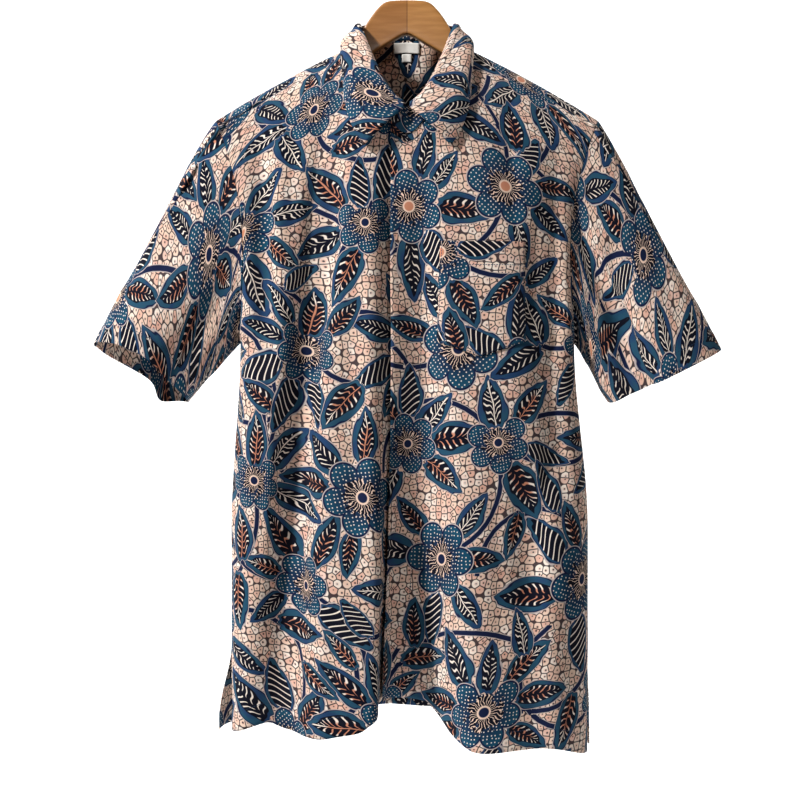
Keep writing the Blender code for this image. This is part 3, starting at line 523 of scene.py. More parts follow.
def body_point(face, side, x, z, level, edge):
    """A place on the outside of the body.

    level is 0 at the shoulder and 1 at the armpit and below; edge is half the
    body's width in that row."""
    sign = -1.0 if face == "front" else 1.0
    folds = FRONT_FOLDS if face == "front" else BACK_FOLDS
    depth = drape_depth(face, x, z)
    across = clamp(abs(x) / edge)
    if level < 1.0:
        edge_drop = mix(shoulder_z(SHOULDER_TIP), ARMPIT_Z, level)
        edge_depth = drape_depth(face, edge, edge_drop)
        kept = SEAM_DEPTH * (1.0 if side > 0 else SEAM_FULLNESS[face])
        hollow = edge_depth * mix(1.0, kept, smooth(level / 0.4)) * math.sqrt(1.0 - level ** 4)
    else:
        hollow = 0.0
    power = mix(*SECTION_POWERS, smooth((ARMPIT_Z - z) / SECTION_RUN))
    turn = mix(1.0, 0.5, smooth((level - 0.35) / 0.65))
    out = hollow + (depth - hollow) * max(1.0 - across ** power, 0.0) ** turn
    fold, shift = fold_at(folds, x, z)
    still = (1.0 - across ** 6) * smooth((crest_z(face, x) - z - FOLD_START) / FOLD_RUN)
    out -= fold * still
    x += shift * still
    vent = smooth((VENT_Z - z) / VENT_RUN)
    near_edge = math.exp(-((edge - abs(x)) / VENT_REACH) ** 2) if x * side > 0 else 0.0
    out += VENT_LIFT[face] * vent * near_edge
    x += side * VENT_PART[face][side] * vent * near_edge
    return Vector((x, sign * (out + SEAM_GAP / 2), z))


def hem_z(face, x):
    return spline(FRONT_HEM if face == "front" else BACK_HEM, x)


def lower_point(face, side, x, level):
    z = mix(ARMPIT_Z, hem_z(face, x), level)
    return body_point(face, side, x, z, 1.0, body_half(side, z) + 1e-9)


def row_shares(face):
    """Column places, as shares of the way from the placket line to the side."""
    count = NECK_COLUMNS[face] + SHOULDER_COLUMNS[face]
    return [index / count for index in range(count)] + [0.992, 1.0]


def top_edge(face, start, side):
    """Neckline and shoulder seam, as (x, z), at each column."""
    neck = []
    for step in range(41):
        x = mix(start, NECK_HALF, step / 40)
        neck.append((x, 0.0, neckline_z(face, x)))
    seam = []
    for step in range(41):
        x = mix(NECK_HALF, SHOULDER_TIP, step / 40)
        seam.append((x, 0.0, shoulder_z(x)))
    neck_shares = [index / NECK_COLUMNS[face] for index in range(NECK_COLUMNS[face])]
    seam_shares = [index / SHOULDER_COLUMNS[face] for index in range(SHOULDER_COLUMNS[face])]
    points = resample(neck, neck_shares) + resample(seam, seam_shares + [0.988, 1.0])
    return [(side * p.x, p.z) for p in points]


def lower_columns(face, side, start, level, shares):
    """Places across the body at one level, spaced evenly along the cloth."""
    z = mix(ARMPIT_Z, HEM_Z, level)
    half = body_half(side, z)
    first = math.asin(clamp(start / half, -1.0, 1.0))
    fine = []
    for step in range(FINE_STEPS + 1):
        x = side * half * math.sin(mix(first, math.pi / 2, step / FINE_STEPS))
        fine.append((x, lower_point(face, side, x, level)))
    lengths = [0.0]
    for (_, a), (_, b) in zip(fine, fine[1:]):
        lengths.append(lengths[-1] + (b - a).length)
    goals = [share * lengths[-1] for share in shares]
    return list(np.interp(goals, lengths, [x for x, _ in fine]))


def under_offset(point, ahead, behind, x):
    """Moves the underlap inwards, behind the placket."""
    share = smooth((x - UNDER_RAMP[1]) / (UNDER_RAMP[0] - UNDER_RAMP[1]))
    along = ahead - behind
    normal = Vector((along.y, -along.x, 0.0)).normalized()
    if normal.y > 0:
        normal = -normal
    return point - normal * UNDER_DROP * share


def half_panel(face, side, strip, under=False):
    """Rows of points from the shoulder to the hem, from the middle to the side.

    strip holds the columns near the middle, by their x."""
    start = abs(strip[-1]) if len(strip) else 0.0
    shares = row_shares(face)
    top = top_edge(face, start, side)
    armpit = lower_columns(face, side, start, 0.0, shares)
    rows = []

    def place(x, z, level, edge):
        point = body_point(face, side, x, z, level, edge)
        if under and x > UNDER_RAMP[1]:
            ahead = body_point(face, side, x + 0.0005, z, level, edge)
            behind = body_point(face, side, x - 0.0005, z, level, edge)
            point = under_offset(point, ahead, behind, x)
        return point

    def upper_row(level_of):
        row = []
        columns = [(x, neckline_z(face, x), x, 0.0) for x in strip[:-1]]
        columns += [(top[i][0], top[i][1], armpit[i], shares[i]) for i in range(len(shares))]
        tip_level = level_of(SHOULDER_TIP, shoulder_z(SHOULDER_TIP))
        tip_edge = mix(SHOULDER_TIP, ARMPIT_HALF, tip_level)
        tip_edge -= ARMHOLE_SCOOP * math.sin(math.pi * tip_level)
        for x_top, z_top, x_armpit, share in columns:
            level = level_of(x_top, z_top)
            x = mix(x_top, x_armpit, level)
            x -= side * ARMHOLE_SCOOP * math.sin(math.pi * level) * share ** 4
            z = mix(MEAN_TOP_Z, ARMPIT_Z, level)
            z += (z_top - MEAN_TOP_Z) * (1.0 - level) ** ROW_LEVELLING
            row.append(place(x, z, level, tip_edge + 1e-9))
        return row

    for angle in ROUND_ANGLES:
        def round_level(x, z, angle=angle):
            drop = ROUND_SHARE * top_round(x) * (1.0 - math.cos(angle))
            fall = (MEAN_TOP_Z - ARMPIT_Z) + ROW_LEVELLING * (z - MEAN_TOP_Z)
            return drop / fall
        rows.append(upper_row(round_level))
    for level in UPPER_LEVELS:
        rows.append(upper_row(lambda x, z, level=level: level))
    for level in LOWER_LEVELS:
        columns = list(strip[:-1]) + lower_columns(face, side, start, level, shares)
        outer = body_half(side, mix(ARMPIT_Z, HEM_Z, level))
        row = []
        for x in columns:
            z = mix(ARMPIT_Z, hem_z(face, x), level)
            x *= mix(1.0, body_half(side, z) / outer, (abs(x) / outer) ** 4)
            row.append(place(x, z, 1.0, body_half(side, z) + 1e-9))
        rows.append(row)
    return rows


def back_panel():
    left = half_panel("back", -1, (0.0, -BACK_STRIP))
    right = half_panel("back", 1, (0.0, BACK_STRIP))
    return [list(reversed(a)) + b[1:] for a, b in zip(left, right)]


# ---- sleeves -------------------------------------------------------------
def armhole(side, front_rows, back_rows):
    """The armhole's loop from the shoulder, down the front and up the back.

    Each place has its point and the cloth's direction out of the body."""
    last = -1 if side > 0 else 0
    before = -2 if side > 0 else 1
    count = len(ROUND_ANGLES) + len(UPPER_LEVELS)
    front = [(row[-1], (row[-1] - row[-2]).normalized()) for row in front_rows[:count]]
    back = [(row[last], (row[last] - row[before]).normalized()) for row in back_rows[:count]]
    loop = front + list(reversed(back))[1:-1]
    loop[0] = (Vector((loop[0][0].x, 0.0, loop[0][0].z)), loop[0][1])
    middle = count - 1
    loop[middle] = (Vector((loop[middle][0].x, 0.0, loop[middle][0].z)), loop[middle][1])
    return loop, middle


def cuff_point(side, angle):
    cuff = CUFFS[side]
    top = Vector((cuff["top"][0], 0.0, cuff["top"][1]))
    bottom = Vector((cuff["bottom"][0], 0.0, cuff["bottom"][1]))
    centre = (top + bottom) / 2
    reach = (top - bottom) / 2
    up = Vector((-side * abs(reach.z), 0.0, abs(reach.x))).normalized()
    sine = math.sin(angle)
    depth = cuff["front"] if sine > 0 else cuff["back"]
    flat = math.copysign(abs(sine) ** CUFF_FLATNESS, sine)
    point = centre + reach * math.cos(angle) + Vector((0.0, -depth * flat, 0.0))
    sag = cuff["flap"] * math.exp(-((math.degrees(angle) - FLAP_ANGLE) / FLAP_WIDTH) ** 2)
    return point + up * (cuff["tilt"] * sine + cuff["bow"] * sine * sine - sag)


def sleeve_rows(side, front_rows, back_rows):
    loop, middle = armhole(side, front_rows, back_rows)
    lengths = [0.0]
    for (a, _), (b, _) in zip(loop, loop[1:] + loop[:1]):
        lengths.append(lengths[-1] + (b - a).length)
    angles = []
    for index in range(len(loop)):
        if index <= middle:
            angles.append(math.pi * lengths[index] / lengths[middle])
        else:
            share = (lengths[index] - lengths[middle]) / (lengths[-1] - lengths[middle])
            angles.append(math.pi * (1.0 + share))
    under = Vector((side * ARMPIT_WAY[0], 0.0, -ARMPIT_WAY[1]))
    rows = []
    for ring in SLEEVE_RINGS:
        row = []
        for (start, out), angle in zip(loop, angles):
            low = (1.0 - math.cos(angle)) / 2
            turned = smooth((low - ARMPIT_TURN[0]) / ARMPIT_TURN[1])
            first = out.lerp(under, turned).normalized()
            end = cuff_point(side, angle)
            outwards, down = (mix(a, b, low) for a, b in zip(*CUFF_WAYS))
            last = Vector((side * outwards, 0.0, -down)).normalized()
            pull = mix(CUFFS[side]["pull"], UNDER_PULL, low)
            push = mix(CUFFS[side]["push"], UNDER_PUSH, low)
            row.append(curve(start + first * SEAM_GAP, end, first * pull, last * push, ring))
        centre = sum(row, Vector()) / len(row)
        for index, angle in enumerate(angles):
            inward = (centre - row[index]).normalized()
            for _, route in SLEEVE_FOLDS[side]:
                away = math.degrees(angle) - on_route(route, ACROSS, ring)
                width = on_route(route, LEFT if away < 0.0 else RIGHT, ring)
                depth = on_route(route, DEPTH, ring) * math.exp(-(away / width) ** 2)
                row[index] = row[index] + inward * depth
        rows.append(row)
    return rows


# ---- collar --------------------------------------------------------------
def neck_front(x, under):
    """A place on the front's neckline, moved inwards where it is on the underlap."""
    side = -1 if x < 0 else 1
    point = body_point("front", side, x, neckline_z("front", x), 0.0, SHOULDER_TIP)
    if under and x > UNDER_RAMP[1]:
        z = neckline_z("front", x)
        ahead = body_point("front", side, x + 0.0005, z, 0.0, SHOULDER_TIP)
        behind = body_point("front", side, x - 0.0005, z, 0.0, SHOULDER_TIP)
        point = under_offset(point, ahead, behind, x)
    return point


def neck_back(x):
    return body_point("back", -1 if x < 0 else 1, x, neckline_z("back", x), 0.0, SHOULDER_TIP)


def fold_point(base, face):
    """The collar's fold line above a place on the neckline."""
    x = base.x * FOLD_HALF / NECK_HALF
    across = clamp(abs(x) / FOLD_HALF)
    z = mix(FOLD_Z[face], FOLD_SIDE_Z, across ** FOLD_CURVE[face])
    return Vector((x, base.y * FOLD_IN[face], z))


def neck_places():
    """Across places of the collar stand's columns, from the underlap's end round."""
    sides = [math.sin(math.radians(angle)) * NECK_HALF for angle in NECK_ANGLES]
    front_first = [("front", x, True) for x in FLY_PLACES + UNDER_RAMP[:1]]
    front_first += [("front", -x, True) for x in sides]
    back = [("back", -NECK_HALF, False)]
    back += [("back", -x, False) for x in reversed(sides)]
    back += [("back", x, False) for x in (-0.012, 0.0, 0.012)]
    back += [("back", x, False) for x in sides]
    back += [("back", NECK_HALF, False)]
    front_last = [("front", x, False) for x in reversed(sides)]
    front_last += [("front", x, False) for x in FLY_PLACES]
    return front_first + back + front_last


def stand_rows():
    rows = [[], [], []]
    for face, x, under in neck_places():
        base = neck_front(x, under) if face == "front" else neck_back(x)
        fold = fold_point(base, face)
        rise = (fold - base).normalized()
        rows[0].append(fold)
        rows[1].append(base.lerp(fold, 0.5))
        rows[2].append(base + rise * SEAM_GAP + Vector((0.0, 0.0, SEAM_GAP)))
    return rows


def leaf_edge():
    """One half of the leaf's outer edge, from the point to the back."""
    xs, ys, zs = [], [], []
    for index, (_, x, y, z) in enumerate(LEAF_EDGE):
        if y is None:
            y = body_point("front", 1, x, z, LEAF_LEVEL, SHOULDER_TIP).y - LEAF_LIFT - LEAF_WALL
        xs.append((index, x))
        ys.append((index, y))
        zs.append((index, z))
    last = len(LEAF_EDGE) - 1
    fine = []
    for step in range(61):
        at = last * step / 60
        fine.append(Vector((spline(xs, at), spline(ys, at), spline(zs, at))))
    return fine


def leaf_fold():
    """One half of the fold line, from the front end to the back."""
    fine = []
    for step in range(41):
        x = mix(LEAF_FRONT_X * NECK_HALF / FOLD_HALF, NECK_HALF, math.sin(step / 40 * math.pi / 2))
        fine.append(fold_point(neck_front(x, False), "front"))
    for step in range(1, 41):
        x = NECK_HALF * math.cos(step / 40 * math.pi / 2)
        fine.append(fold_point(neck_back(x), "back"))
    return fine


def leaf_rows():
    shares = [index / LEAF_COLUMNS for index in range(LEAF_COLUMNS + 1)]
    folds = resample(leaf_fold(), shares)
    edges = resample(leaf_edge(), shares)
    half = []
    for index, (fold, edge) in enumerate(zip(folds, edges)):
        if index < LEAF_COLUMNS:
            along = folds[index + 1] - fold
        else:
            along = fold - folds[index - 1]
        if index > 0:
            along = along + (fold - folds[index - 1])
        out = Vector((along.y, -along.x, 0.0))
        out = out.normalized() if out.length > 1e-9 else Vector((0.0, 1.0, 0.0))
        if out.dot(Vector((fold.x, fold.y, 0.0))) < 0:
            out = -out
        up = Vector((0.0, 0.0, 1.0))
        column = [fold + up * rise + out * way for rise, way in LEAF_ROLL]
        begin = column[-1]
        for share in LEAF_FALL:
            bulge = LEAF_BULGE * math.sin(math.pi * share)
            column.append(begin.lerp(edge, share) + out * bulge)
        half.append(column)
    columns = [[Vector((-p.x, p.y, p.z)) for p in column] for column in half]
    columns += list(reversed(half[:-1]))
    return [[column[level] for column in columns] for level in range(len(columns[0]))]


# ---- cloth shells --------------------------------------------------------
def as_array(rows):
    return np.array([[tuple(p) for p in row] for row in rows], float)


def refine(points, times, axis):
    """Smooth points between the given ones along one direction of a grid."""
    moved = np.moveaxis(points, axis, 0)
    count = len(moved)
    found = []
    for index in range(count - 1):
        before = moved[max(index - 1, 0)]
        start, end = moved[index], moved[index + 1]
        after = moved[min(index + 2, count - 1)]
        for step in range(times):
            u = step / times
            found.append(0.5 * (2 * start + (end - before) * u
                                + (2 * before - 5 * start + 4 * end - after) * u ** 2
                                + (3 * start - before - 3 * end + after) * u ** 3))
    found.append(moved[-1])
    return np.moveaxis(np.array(found), 0, axis)


def outward(points, closed, flip):
    if closed:
        across = np.roll(points, -1, 1) - np.roll(points, 1, 1)
    else:
        across = np.gradient(points, axis=1)
    down = np.gradient(points, axis=0)
    found = np.cross(down, across)
    found /= np.linalg.norm(found, axis=2, keepdims=True) + 1e-12
    return -found if flip else found


def cloth_places(points, closed, column, row):
    """Places on the flat cloth, in metres, measured from one column and row."""
    wide = np.concatenate([points, points[:, :1]], 1) if closed else points
    across = np.linalg.norm(np.diff(wide, axis=1), axis=2)
    across = np.concatenate([np.zeros((len(wide), 1)), np.cumsum(across, 1)], 1)
    across -= across[:, column:column + 1]
    down = np.linalg.norm(np.diff(wide, axis=0), axis=2)
    down = np.concatenate([np.zeros((1, wide.shape[1])), np.cumsum(down, 0)], 0)
    down = down[row:row + 1] - down
    return np.stack([across, down], 2)


def rumple(points, normals, places, seed, depth, edges):
    """Small soft unevenness of pressed cotton, none at the seams."""
    rows, columns = points.shape[:2]
    moved = points.copy()
    for r in range(rows):
        for c in range(columns):
            u, v = places[r, c]
            near = 1.0
            for side, far in (("top", r), ("start", c), ("end", columns - 1 - c)):
                if side in edges:
                    near = min(near, far / SEAM_CALM)
            wave = 0.0
            for across, down, share, seed_across, seed_down in RUMPLES:
                place = (u * across + seed * seed_across, v * down + seed * seed_down, seed)
                wave += noise.noise(Vector(place)) * share
            moved[r, c] += normals[r, c] * wave * depth * near
    return moved


def pressed_in(points, normals, creases):
    """Single creases, each along a straight line as the shirt is seen from the front."""
    moved = points.copy()
    x, z = points[..., 0], points[..., 2]
    for _, x0, z0, x1, z1, left, right, depth in creases:
        run = math.hypot(x1 - x0, z1 - z0)
        along = ((x - x0) * (x1 - x0) + (z - z0) * (z1 - z0)) / run ** 2
        away = ((x - x0) * (z0 - z1) + (z - z0) * (x1 - x0)) / run
        width = np.where(away < 0.0, left, right)
        fade = np.sqrt(np.sin(np.pi * np.clip(along, 0.0, 1.0)))
        moved -= normals * (depth * fade * np.exp(-np.abs(away / width) ** 1.5))[..., None]
    return moved


def shell(name, points, places, normals, wall, closed=False, flip=False, stitches=None):
    """A sheet of cloth with both its faces and its edges.

    Gives the object and, for every corner of its faces, the place on the
    flat cloth."""
    rows, columns = points.shape[:2]
    verts = np.concatenate([points.reshape(-1, 3), (points - normals * wall).reshape(-1, 3)])
    inner = rows * columns
    spans = columns if closed else columns - 1
    r, c = np.meshgrid(np.arange(rows - 1), np.arange(spans), indexing="ij")
    r, c = r.ravel(), c.ravel()
    corner_r = np.stack([r, r + 1, r + 1, r], 1)
    corner_c = np.stack([c, c, c + 1, c + 1], 1)
    if flip:
        corner_r, corner_c = corner_r[:, ::-1], corner_c[:, ::-1]
    outer_faces = corner_r * columns + corner_c % columns
    faces = [outer_faces, outer_faces[:, ::-1] + inner]
    at_r = [corner_r, corner_r[:, ::-1]]
    at_c = [corner_c, corner_c[:, ::-1]]
    rims = [(np.zeros(spans, int), np.arange(spans), 0, 1, False)]
    rims.append((np.full(spans, rows - 1), np.arange(spans), 0, 1, True))
    if not closed:
        rims.append((np.arange(rows - 1), np.zeros(rows - 1, int), 1, 0, True))
        rims.append((np.arange(rows - 1), np.full(rows - 1, columns - 1), 1, 0, False))
    for rim_r, rim_c, step_r, step_c, turned in rims:
        first = rim_r * columns + rim_c % columns
        second = (rim_r + step_r) * columns + (rim_c + step_c) % columns
        quad = np.stack([first, second, second + inner, first + inner], 1)
        quad_r = np.stack([rim_r, rim_r + step_r, rim_r + step_r, rim_r], 1)
        quad_c = np.stack([rim_c, rim_c + step_c, rim_c + step_c, rim_c], 1)
        if turned != flip:
            quad, quad_r, quad_c = quad[:, ::-1], quad_r[:, ::-1], quad_c[:, ::-1]
        faces.append(quad)
        at_r.append(quad_r)
        at_c.append(quad_c)
    faces = np.concatenate(faces)
    at_r, at_c = np.concatenate(at_r), np.concatenate(at_c)
    corner_places = places[at_r, at_c]
    mesh = bpy.data.meshes.new(name)
    mesh.from_pydata(verts.tolist(), [], faces.tolist())
    mesh.update()
    mesh.shade_smooth()
    made = bpy.data.objects.new(name, mesh)
    bpy.context.scene.collection.objects.link(made)
    flat = mesh.uv_layers.new(name="cloth")
    flat.data.foreach_set("uv", corner_places.astype(np.float32).ravel())
    values = np.full((len(faces), 4, 3), FAR_AWAY)
    if stitches is not None:
        values[:, :, :2] = stitches[at_r, at_c]
    write_corners(mesh, "stitch", values)
    return made, corner_places


# ---- the print's layout --------------------------------------------------
# Leaves that are close together go on different layers, so that each face has room for them.
LEAF_LAYERS = ("leaf_a", "leaf_b", "leaf_c", "leaf_d", "leaf_e", "leaf_f", "leaf_g")
LAYER_GAP = 0.039
FAR_AWAY = 9.0
PRINT_SEEDS = {
    "front_left": 11, "front_right": 23, "back": 78, "sleeve_right": 51, "sleeve_left": 68,
    "collar_stand": 83, "collar_leaf": 97, "pocket": 41,
}
BLOOM_PITCH = (0.146, 0.130)
BLOOM_SHIFT = 0.024
BLOOM_RADIUS = 0.0375
BLOOM_SIZES = (0.82, 1.16)
LEAVES_ROUND_A_BLOOM = (7, 8, 9)
BLOOM_LEAF_LENGTHS = (0.052, 0.072)
PETAL_LEAF_LENGTHS = (0.050, 0.062)
LEAF_HALVES = (0.205, 0.275)
STEM_STEP = 0.011
STEM_STEPS = 17
STEM_BENDS = (0.09, 0.19)
STEM_LEAVES_AT = (3, 5, 7, 9, 11, 13)
STEM_LEAF_TURNS = (0.55, 0.95)
STEM_END_LEAF = 0.056
STEMS_A_BLOOM = 2
FILL_TRIES = 2200
FILL_LEAF_LENGTHS = (0.046, 0.060)
# how far a leaf keeps from other leaves and from a bloom's edge, by where it grows
LEAF_GAPS = {
    "petal": (0.0150, -0.050),
    "bloom": (0.0140, -0.014),
    "stem": (0.0150, -0.003),
    "stem end": (0.0165, -0.002),
    "ground": (0.0240, 0.002),
}
# the places along a leaf, as shares of its length, that other motifs keep clear of
LEAF_DISCS = (0.20, 0.50, 0.80)
# how far from a motif's middle the faces carry its coordinates
LEAF_REACH = 0.027
BLOOM_REACH = 1.5
STEM_REACH = 0.011


def leaf_discs(leaf):
    u, v, angle, length = leaf[:4]
    return [(u + math.cos(angle) * length * s, v + math.sin(angle) * length * s)
            for s in LEAF_DISCS]


def free_of(leaf, leaves, blooms, between, bloom_gap):
    """Whether a leaf is clear of the other leaves and of the blooms."""
    for a in leaf_discs(leaf):
        for u, v, radius, _, _ in blooms:
            if math.hypot(a[0] - u, a[1] - v) < radius + bloom_gap:
                return False
        for other in leaves:
            for b in other[6]:
                if math.hypot(a[0] - b[0], a[1] - b[1]) < between:
                    return False
    return True


def lay_out(bounds, seed):
    """Blooms, leaves and stems over a piece of flat cloth."""
    rng = random.Random(seed)
    low_u, high_u, low_v, high_v = bounds
    blooms, leaves, stems = [], [], []

    def try_leaf(u, v, angle, length, grows):
        half = length * rng.uniform(*LEAF_HALVES)
        leaf = [u, v, angle, length, half, rng.random()]
        if free_of(leaf, leaves, blooms, *LEAF_GAPS[grows]):
            leaf.append(leaf_discs(leaf))
            leaves.append(leaf)

    pitch_u, pitch_v = BLOOM_PITCH
    start_u = low_u - pitch_u * rng.random()
    start_v = low_v - pitch_v * rng.random()
    for j in range(int((high_v - start_v) / pitch_v) + 2):
        for i in range(int((high_u - start_u) / pitch_u) + 2):
            u = start_u + pitch_u * (i + 0.5 * (j % 2))
            u += rng.uniform(-BLOOM_SHIFT, BLOOM_SHIFT)
            v = start_v + pitch_v * j
            v += rng.uniform(-BLOOM_SHIFT, BLOOM_SHIFT)
            radius = BLOOM_RADIUS * rng.uniform(*BLOOM_SIZES)
            blooms.append((u, v, radius, rng.uniform(0, math.pi), rng.random()))
    for u, v, radius, turn, _ in blooms:
        try_leaf(u + math.cos(turn) * radius * 0.42, v + math.sin(turn) * radius * 0.42,
                 turn, rng.uniform(*PETAL_LEAF_LENGTHS), "petal")
        count = rng.choice(LEAVES_ROUND_A_BLOOM)
        bare = rng.randrange(count)
        for index in range(count):
            if index == bare:
                continue
            angle = turn + index * 2 * math.pi / count + rng.uniform(-0.12, 0.12)
            base = radius * 0.80
            try_leaf(u + math.cos(angle) * base, v + math.sin(angle) * base,
                     angle + rng.uniform(-0.22, 0.22), rng.uniform(*BLOOM_LEAF_LENGTHS),
                     "bloom")
    for u, v, radius, turn, _ in blooms:
        for part in range(STEMS_A_BLOOM):
            angle = turn + 0.5 + part * rng.uniform(2.4, 3.6)
            bend = rng.choice((-1, 1)) * rng.uniform(*STEM_BENDS)
            path = [(u + math.cos(angle) * radius * 0.5, v + math.sin(angle) * radius * 0.5)]
            for step in range(STEM_STEPS):
                path.append((path[-1][0] + math.cos(angle) * STEM_STEP,
                             path[-1][1] + math.sin(angle) * STEM_STEP))
                angle += bend
                if step > 5 and any(math.hypot(path[-1][0] - a, path[-1][1] - b) < c
                                    for a, b, c, _, _ in blooms):
                    break
                if step in STEM_LEAVES_AT:
                    side = 1 if step % 4 == 1 else -1
                    try_leaf(path[-1][0], path[-1][1], angle + side * rng.uniform(*STEM_LEAF_TURNS),
                             rng.uniform(0.048, 0.068), "stem")
                    try_leaf(path[-1][0], path[-1][1], angle - side * rng.uniform(*STEM_LEAF_TURNS),
                             rng.uniform(0.050, 0.068), "stem")
            try_leaf(path[-1][0], path[-1][1], angle, STEM_END_LEAF, "stem end")
            stems.append(path)
    area = (high_u - low_u) * (high_v - low_v)
    for _ in range(int(area * FILL_TRIES)):
        try_leaf(rng.uniform(low_u, high_u), rng.uniform(low_v, high_v),
                 rng.uniform(0, 2 * math.pi), rng.uniform(*FILL_LEAF_LENGTHS), "ground")
    layers = [[] for _ in LEAF_LAYERS]
    for leaf in leaves:
        for layer in layers:
            if all(math.hypot(a[0] - b[0], a[1] - b[1]) > LAYER_GAP for a in leaf[6]
                   for other in layer for b in other[6]):
                layer.append(leaf)
                break
    return blooms, layers, stems


def write_corners(mesh, name, values):
    made = mesh.attributes.new(name, "FLOAT_VECTOR", "CORNER")
    made.data.foreach_set("vector", values.astype(np.float32).ravel())


def nearest(centres, targets):
    """The nearest target of each face, and how far off it is."""
    gap = np.linalg.norm(centres[:, None, :] - targets[None, :, :], axis=2)
    index = gap.argmin(1)
    return index, gap[np.arange(len(centres)), index]


def print_on(made, corners, node):
    """Writes each motif's own coordinates on the faces that it covers."""
    mesh = made.data
    centres = corners.mean(1)
    low, high = centres.min(0), centres.max(0)
    blooms, layers, stems = lay_out((low[0], high[0], low[1], high[1]), PRINT_SEEDS[node])
    blank = np.full((len(corners), 4, 3), FAR_AWAY)
    for name, layer in zip(LEAF_LAYERS, layers):
        values = blank.copy()
        if layer:
            discs = np.array([d for leaf in layer for d in leaf[6]])
            index, gap = nearest(centres, discs)
            picked = gap < LEAF_REACH
            data = np.array([leaf[:6] for leaf in layer])[index // 3][picked]
            offset = corners[picked] - data[:, None, 0:2]
            cosine, sine = np.cos(data[:, 2])[:, None], np.sin(data[:, 2])[:, None]
            along = offset[..., 0] * cosine + offset[..., 1] * sine
            side = offset[..., 1] * cosine - offset[..., 0] * sine
            values[picked, :, 0] = along / data[:, 3:4]
            values[picked, :, 1] = side / data[:, 4:5]
            values[picked, :, 2] = data[:, 5:6]
        write_corners(mesh, name, values)
    values = blank.copy()
    if blooms:
        data = np.array(blooms)
        index, gap = nearest(centres, data[:, :2])
        picked = gap < BLOOM_RADIUS * BLOOM_REACH
        data = data[index][picked]
        offset = corners[picked] - data[:, None, 0:2]
        cosine, sine = np.cos(data[:, 3])[:, None], np.sin(data[:, 3])[:, None]
        values[picked, :, 0] = (offset[..., 0] * cosine + offset[..., 1] * sine) / data[:, 2:3]
        values[picked, :, 1] = (offset[..., 1] * cosine - offset[..., 0] * sine) / data[:, 2:3]
        values[picked, :, 2] = data[:, 4:5]
    write_corners(mesh, "bloom", values)
    values = blank.copy()
    starts = np.array([a for path in stems for a in path[:-1]])
    ends = np.array([b for path in stems for b in path[1:]])
    if len(starts):
        index, gap = nearest(centres, (starts + ends) / 2)
        picked = gap < STEM_REACH
        base, run = starts[index][picked], (ends - starts)[index][picked]
        run /= np.linalg.norm(run, axis=1, keepdims=True)
        offset = corners[picked] - base[:, None]
        values[picked, :, 0] = offset[..., 0] * run[:, None, 1] - offset[..., 1] * run[:, None, 0]
        values[picked, :, 1] = offset[..., 0] * run[:, None, 0] + offset[..., 1] * run[:, None, 1]
    write_corners(mesh, "stem", values)


# ---- shader groups and materials -----------------------------------------
class Wiring:
    """Short ways to place and join shader nodes."""

    def __init__(self, tree):
        self.tree = tree

    def node(self, kind, **settings):
        made = self.tree.nodes.new(kind)
        for key, value in settings.items():
            setattr(made, key, value)
        return made

    def feed(self, socket, value):
        """Joins an input to another node's output, or sets it."""
        if isinstance(value, bpy.types.NodeSocket):
            self.tree.links.new(value, socket)
        elif isinstance(value, (tuple, list)) and len(value) == 3 and socket.type == "RGBA":
            socket.default_value = (*value, 1.0)
        else:
            socket.default_value = value

    def calc(self, operation, *values):
        made = self.node("ShaderNodeMath", operation=operation)
        for socket, value in zip(made.inputs, values):
            self.feed(socket, value)
        return made.outputs[0]

    def step(self, value, edge, soft):
        """0 below the edge, 1 above it, over a soft band."""
        moved = self.calc("SUBTRACT", value, edge)
        made = self.node("ShaderNodeMath", operation="DIVIDE", use_clamp=True)
        self.feed(made.inputs[0], moved)
        self.feed(made.inputs[1], soft)
        return made.outputs[0]

    def below(self, value, edge, soft):
        """1 below the edge, 0 above it, over a soft band."""
        return self.without(self.step(value, edge, soft))

    def times(self, a, b):
        return self.calc("MULTIPLY", a, b)

    def without(self, value):
        return self.calc("SUBTRACT", 1.0, value)

    def paint(self, share, under, over):
        """One colour over another, by a share of 0 to 1."""
        made = self.node("ShaderNodeMix", data_type="RGBA")
        self.feed(made.inputs[0], share)
        self.feed(made.inputs[6], under)
        self.feed(made.inputs[7], over)
        return made.outputs[2]

    def split(self, vector):
        made = self.node("ShaderNodeSeparateXYZ")
        self.feed(made.inputs[0], vector)
        return made.outputs

    def noise(self, place, scale, detail=2.0):
        made = self.node("ShaderNodeTexNoise", noise_dimensions="3D")
        self.feed(made.inputs["Vector"], place)
        made.inputs["Scale"].default_value = scale
        made.inputs["Detail"].default_value = detail
        return made

    def cells(self, place, feature, scale, randomness):
        made = self.node("ShaderNodeTexVoronoi", voronoi_dimensions="2D", feature=feature)
        self.feed(made.inputs["Vector"], place)
        made.inputs["Scale"].default_value = scale
        made.inputs["Randomness"].default_value = randomness
        return made

    def raise_surface(self, shader, height, strength, distance):
        made = self.node("ShaderNodeBump")
        made.inputs["Strength"].default_value = strength
        made.inputs["Distance"].default_value = distance
        self.feed(made.inputs["Height"], height)
        self.feed(shader.inputs["Normal"], made.outputs[0])


def start_group(name, inputs, outputs):
    tree = bpy.data.node_groups.new(name, "ShaderNodeTree")
    for label, kind in inputs:
        tree.interface.new_socket(name=label, in_out="INPUT", socket_type=kind)
    for label, kind in outputs:
        tree.interface.new_socket(name=label, in_out="OUTPUT", socket_type=kind)
    wiring = Wiring(tree)
    return tree, wiring, wiring.node("NodeGroupInput"), wiring.node("NodeGroupOutput")


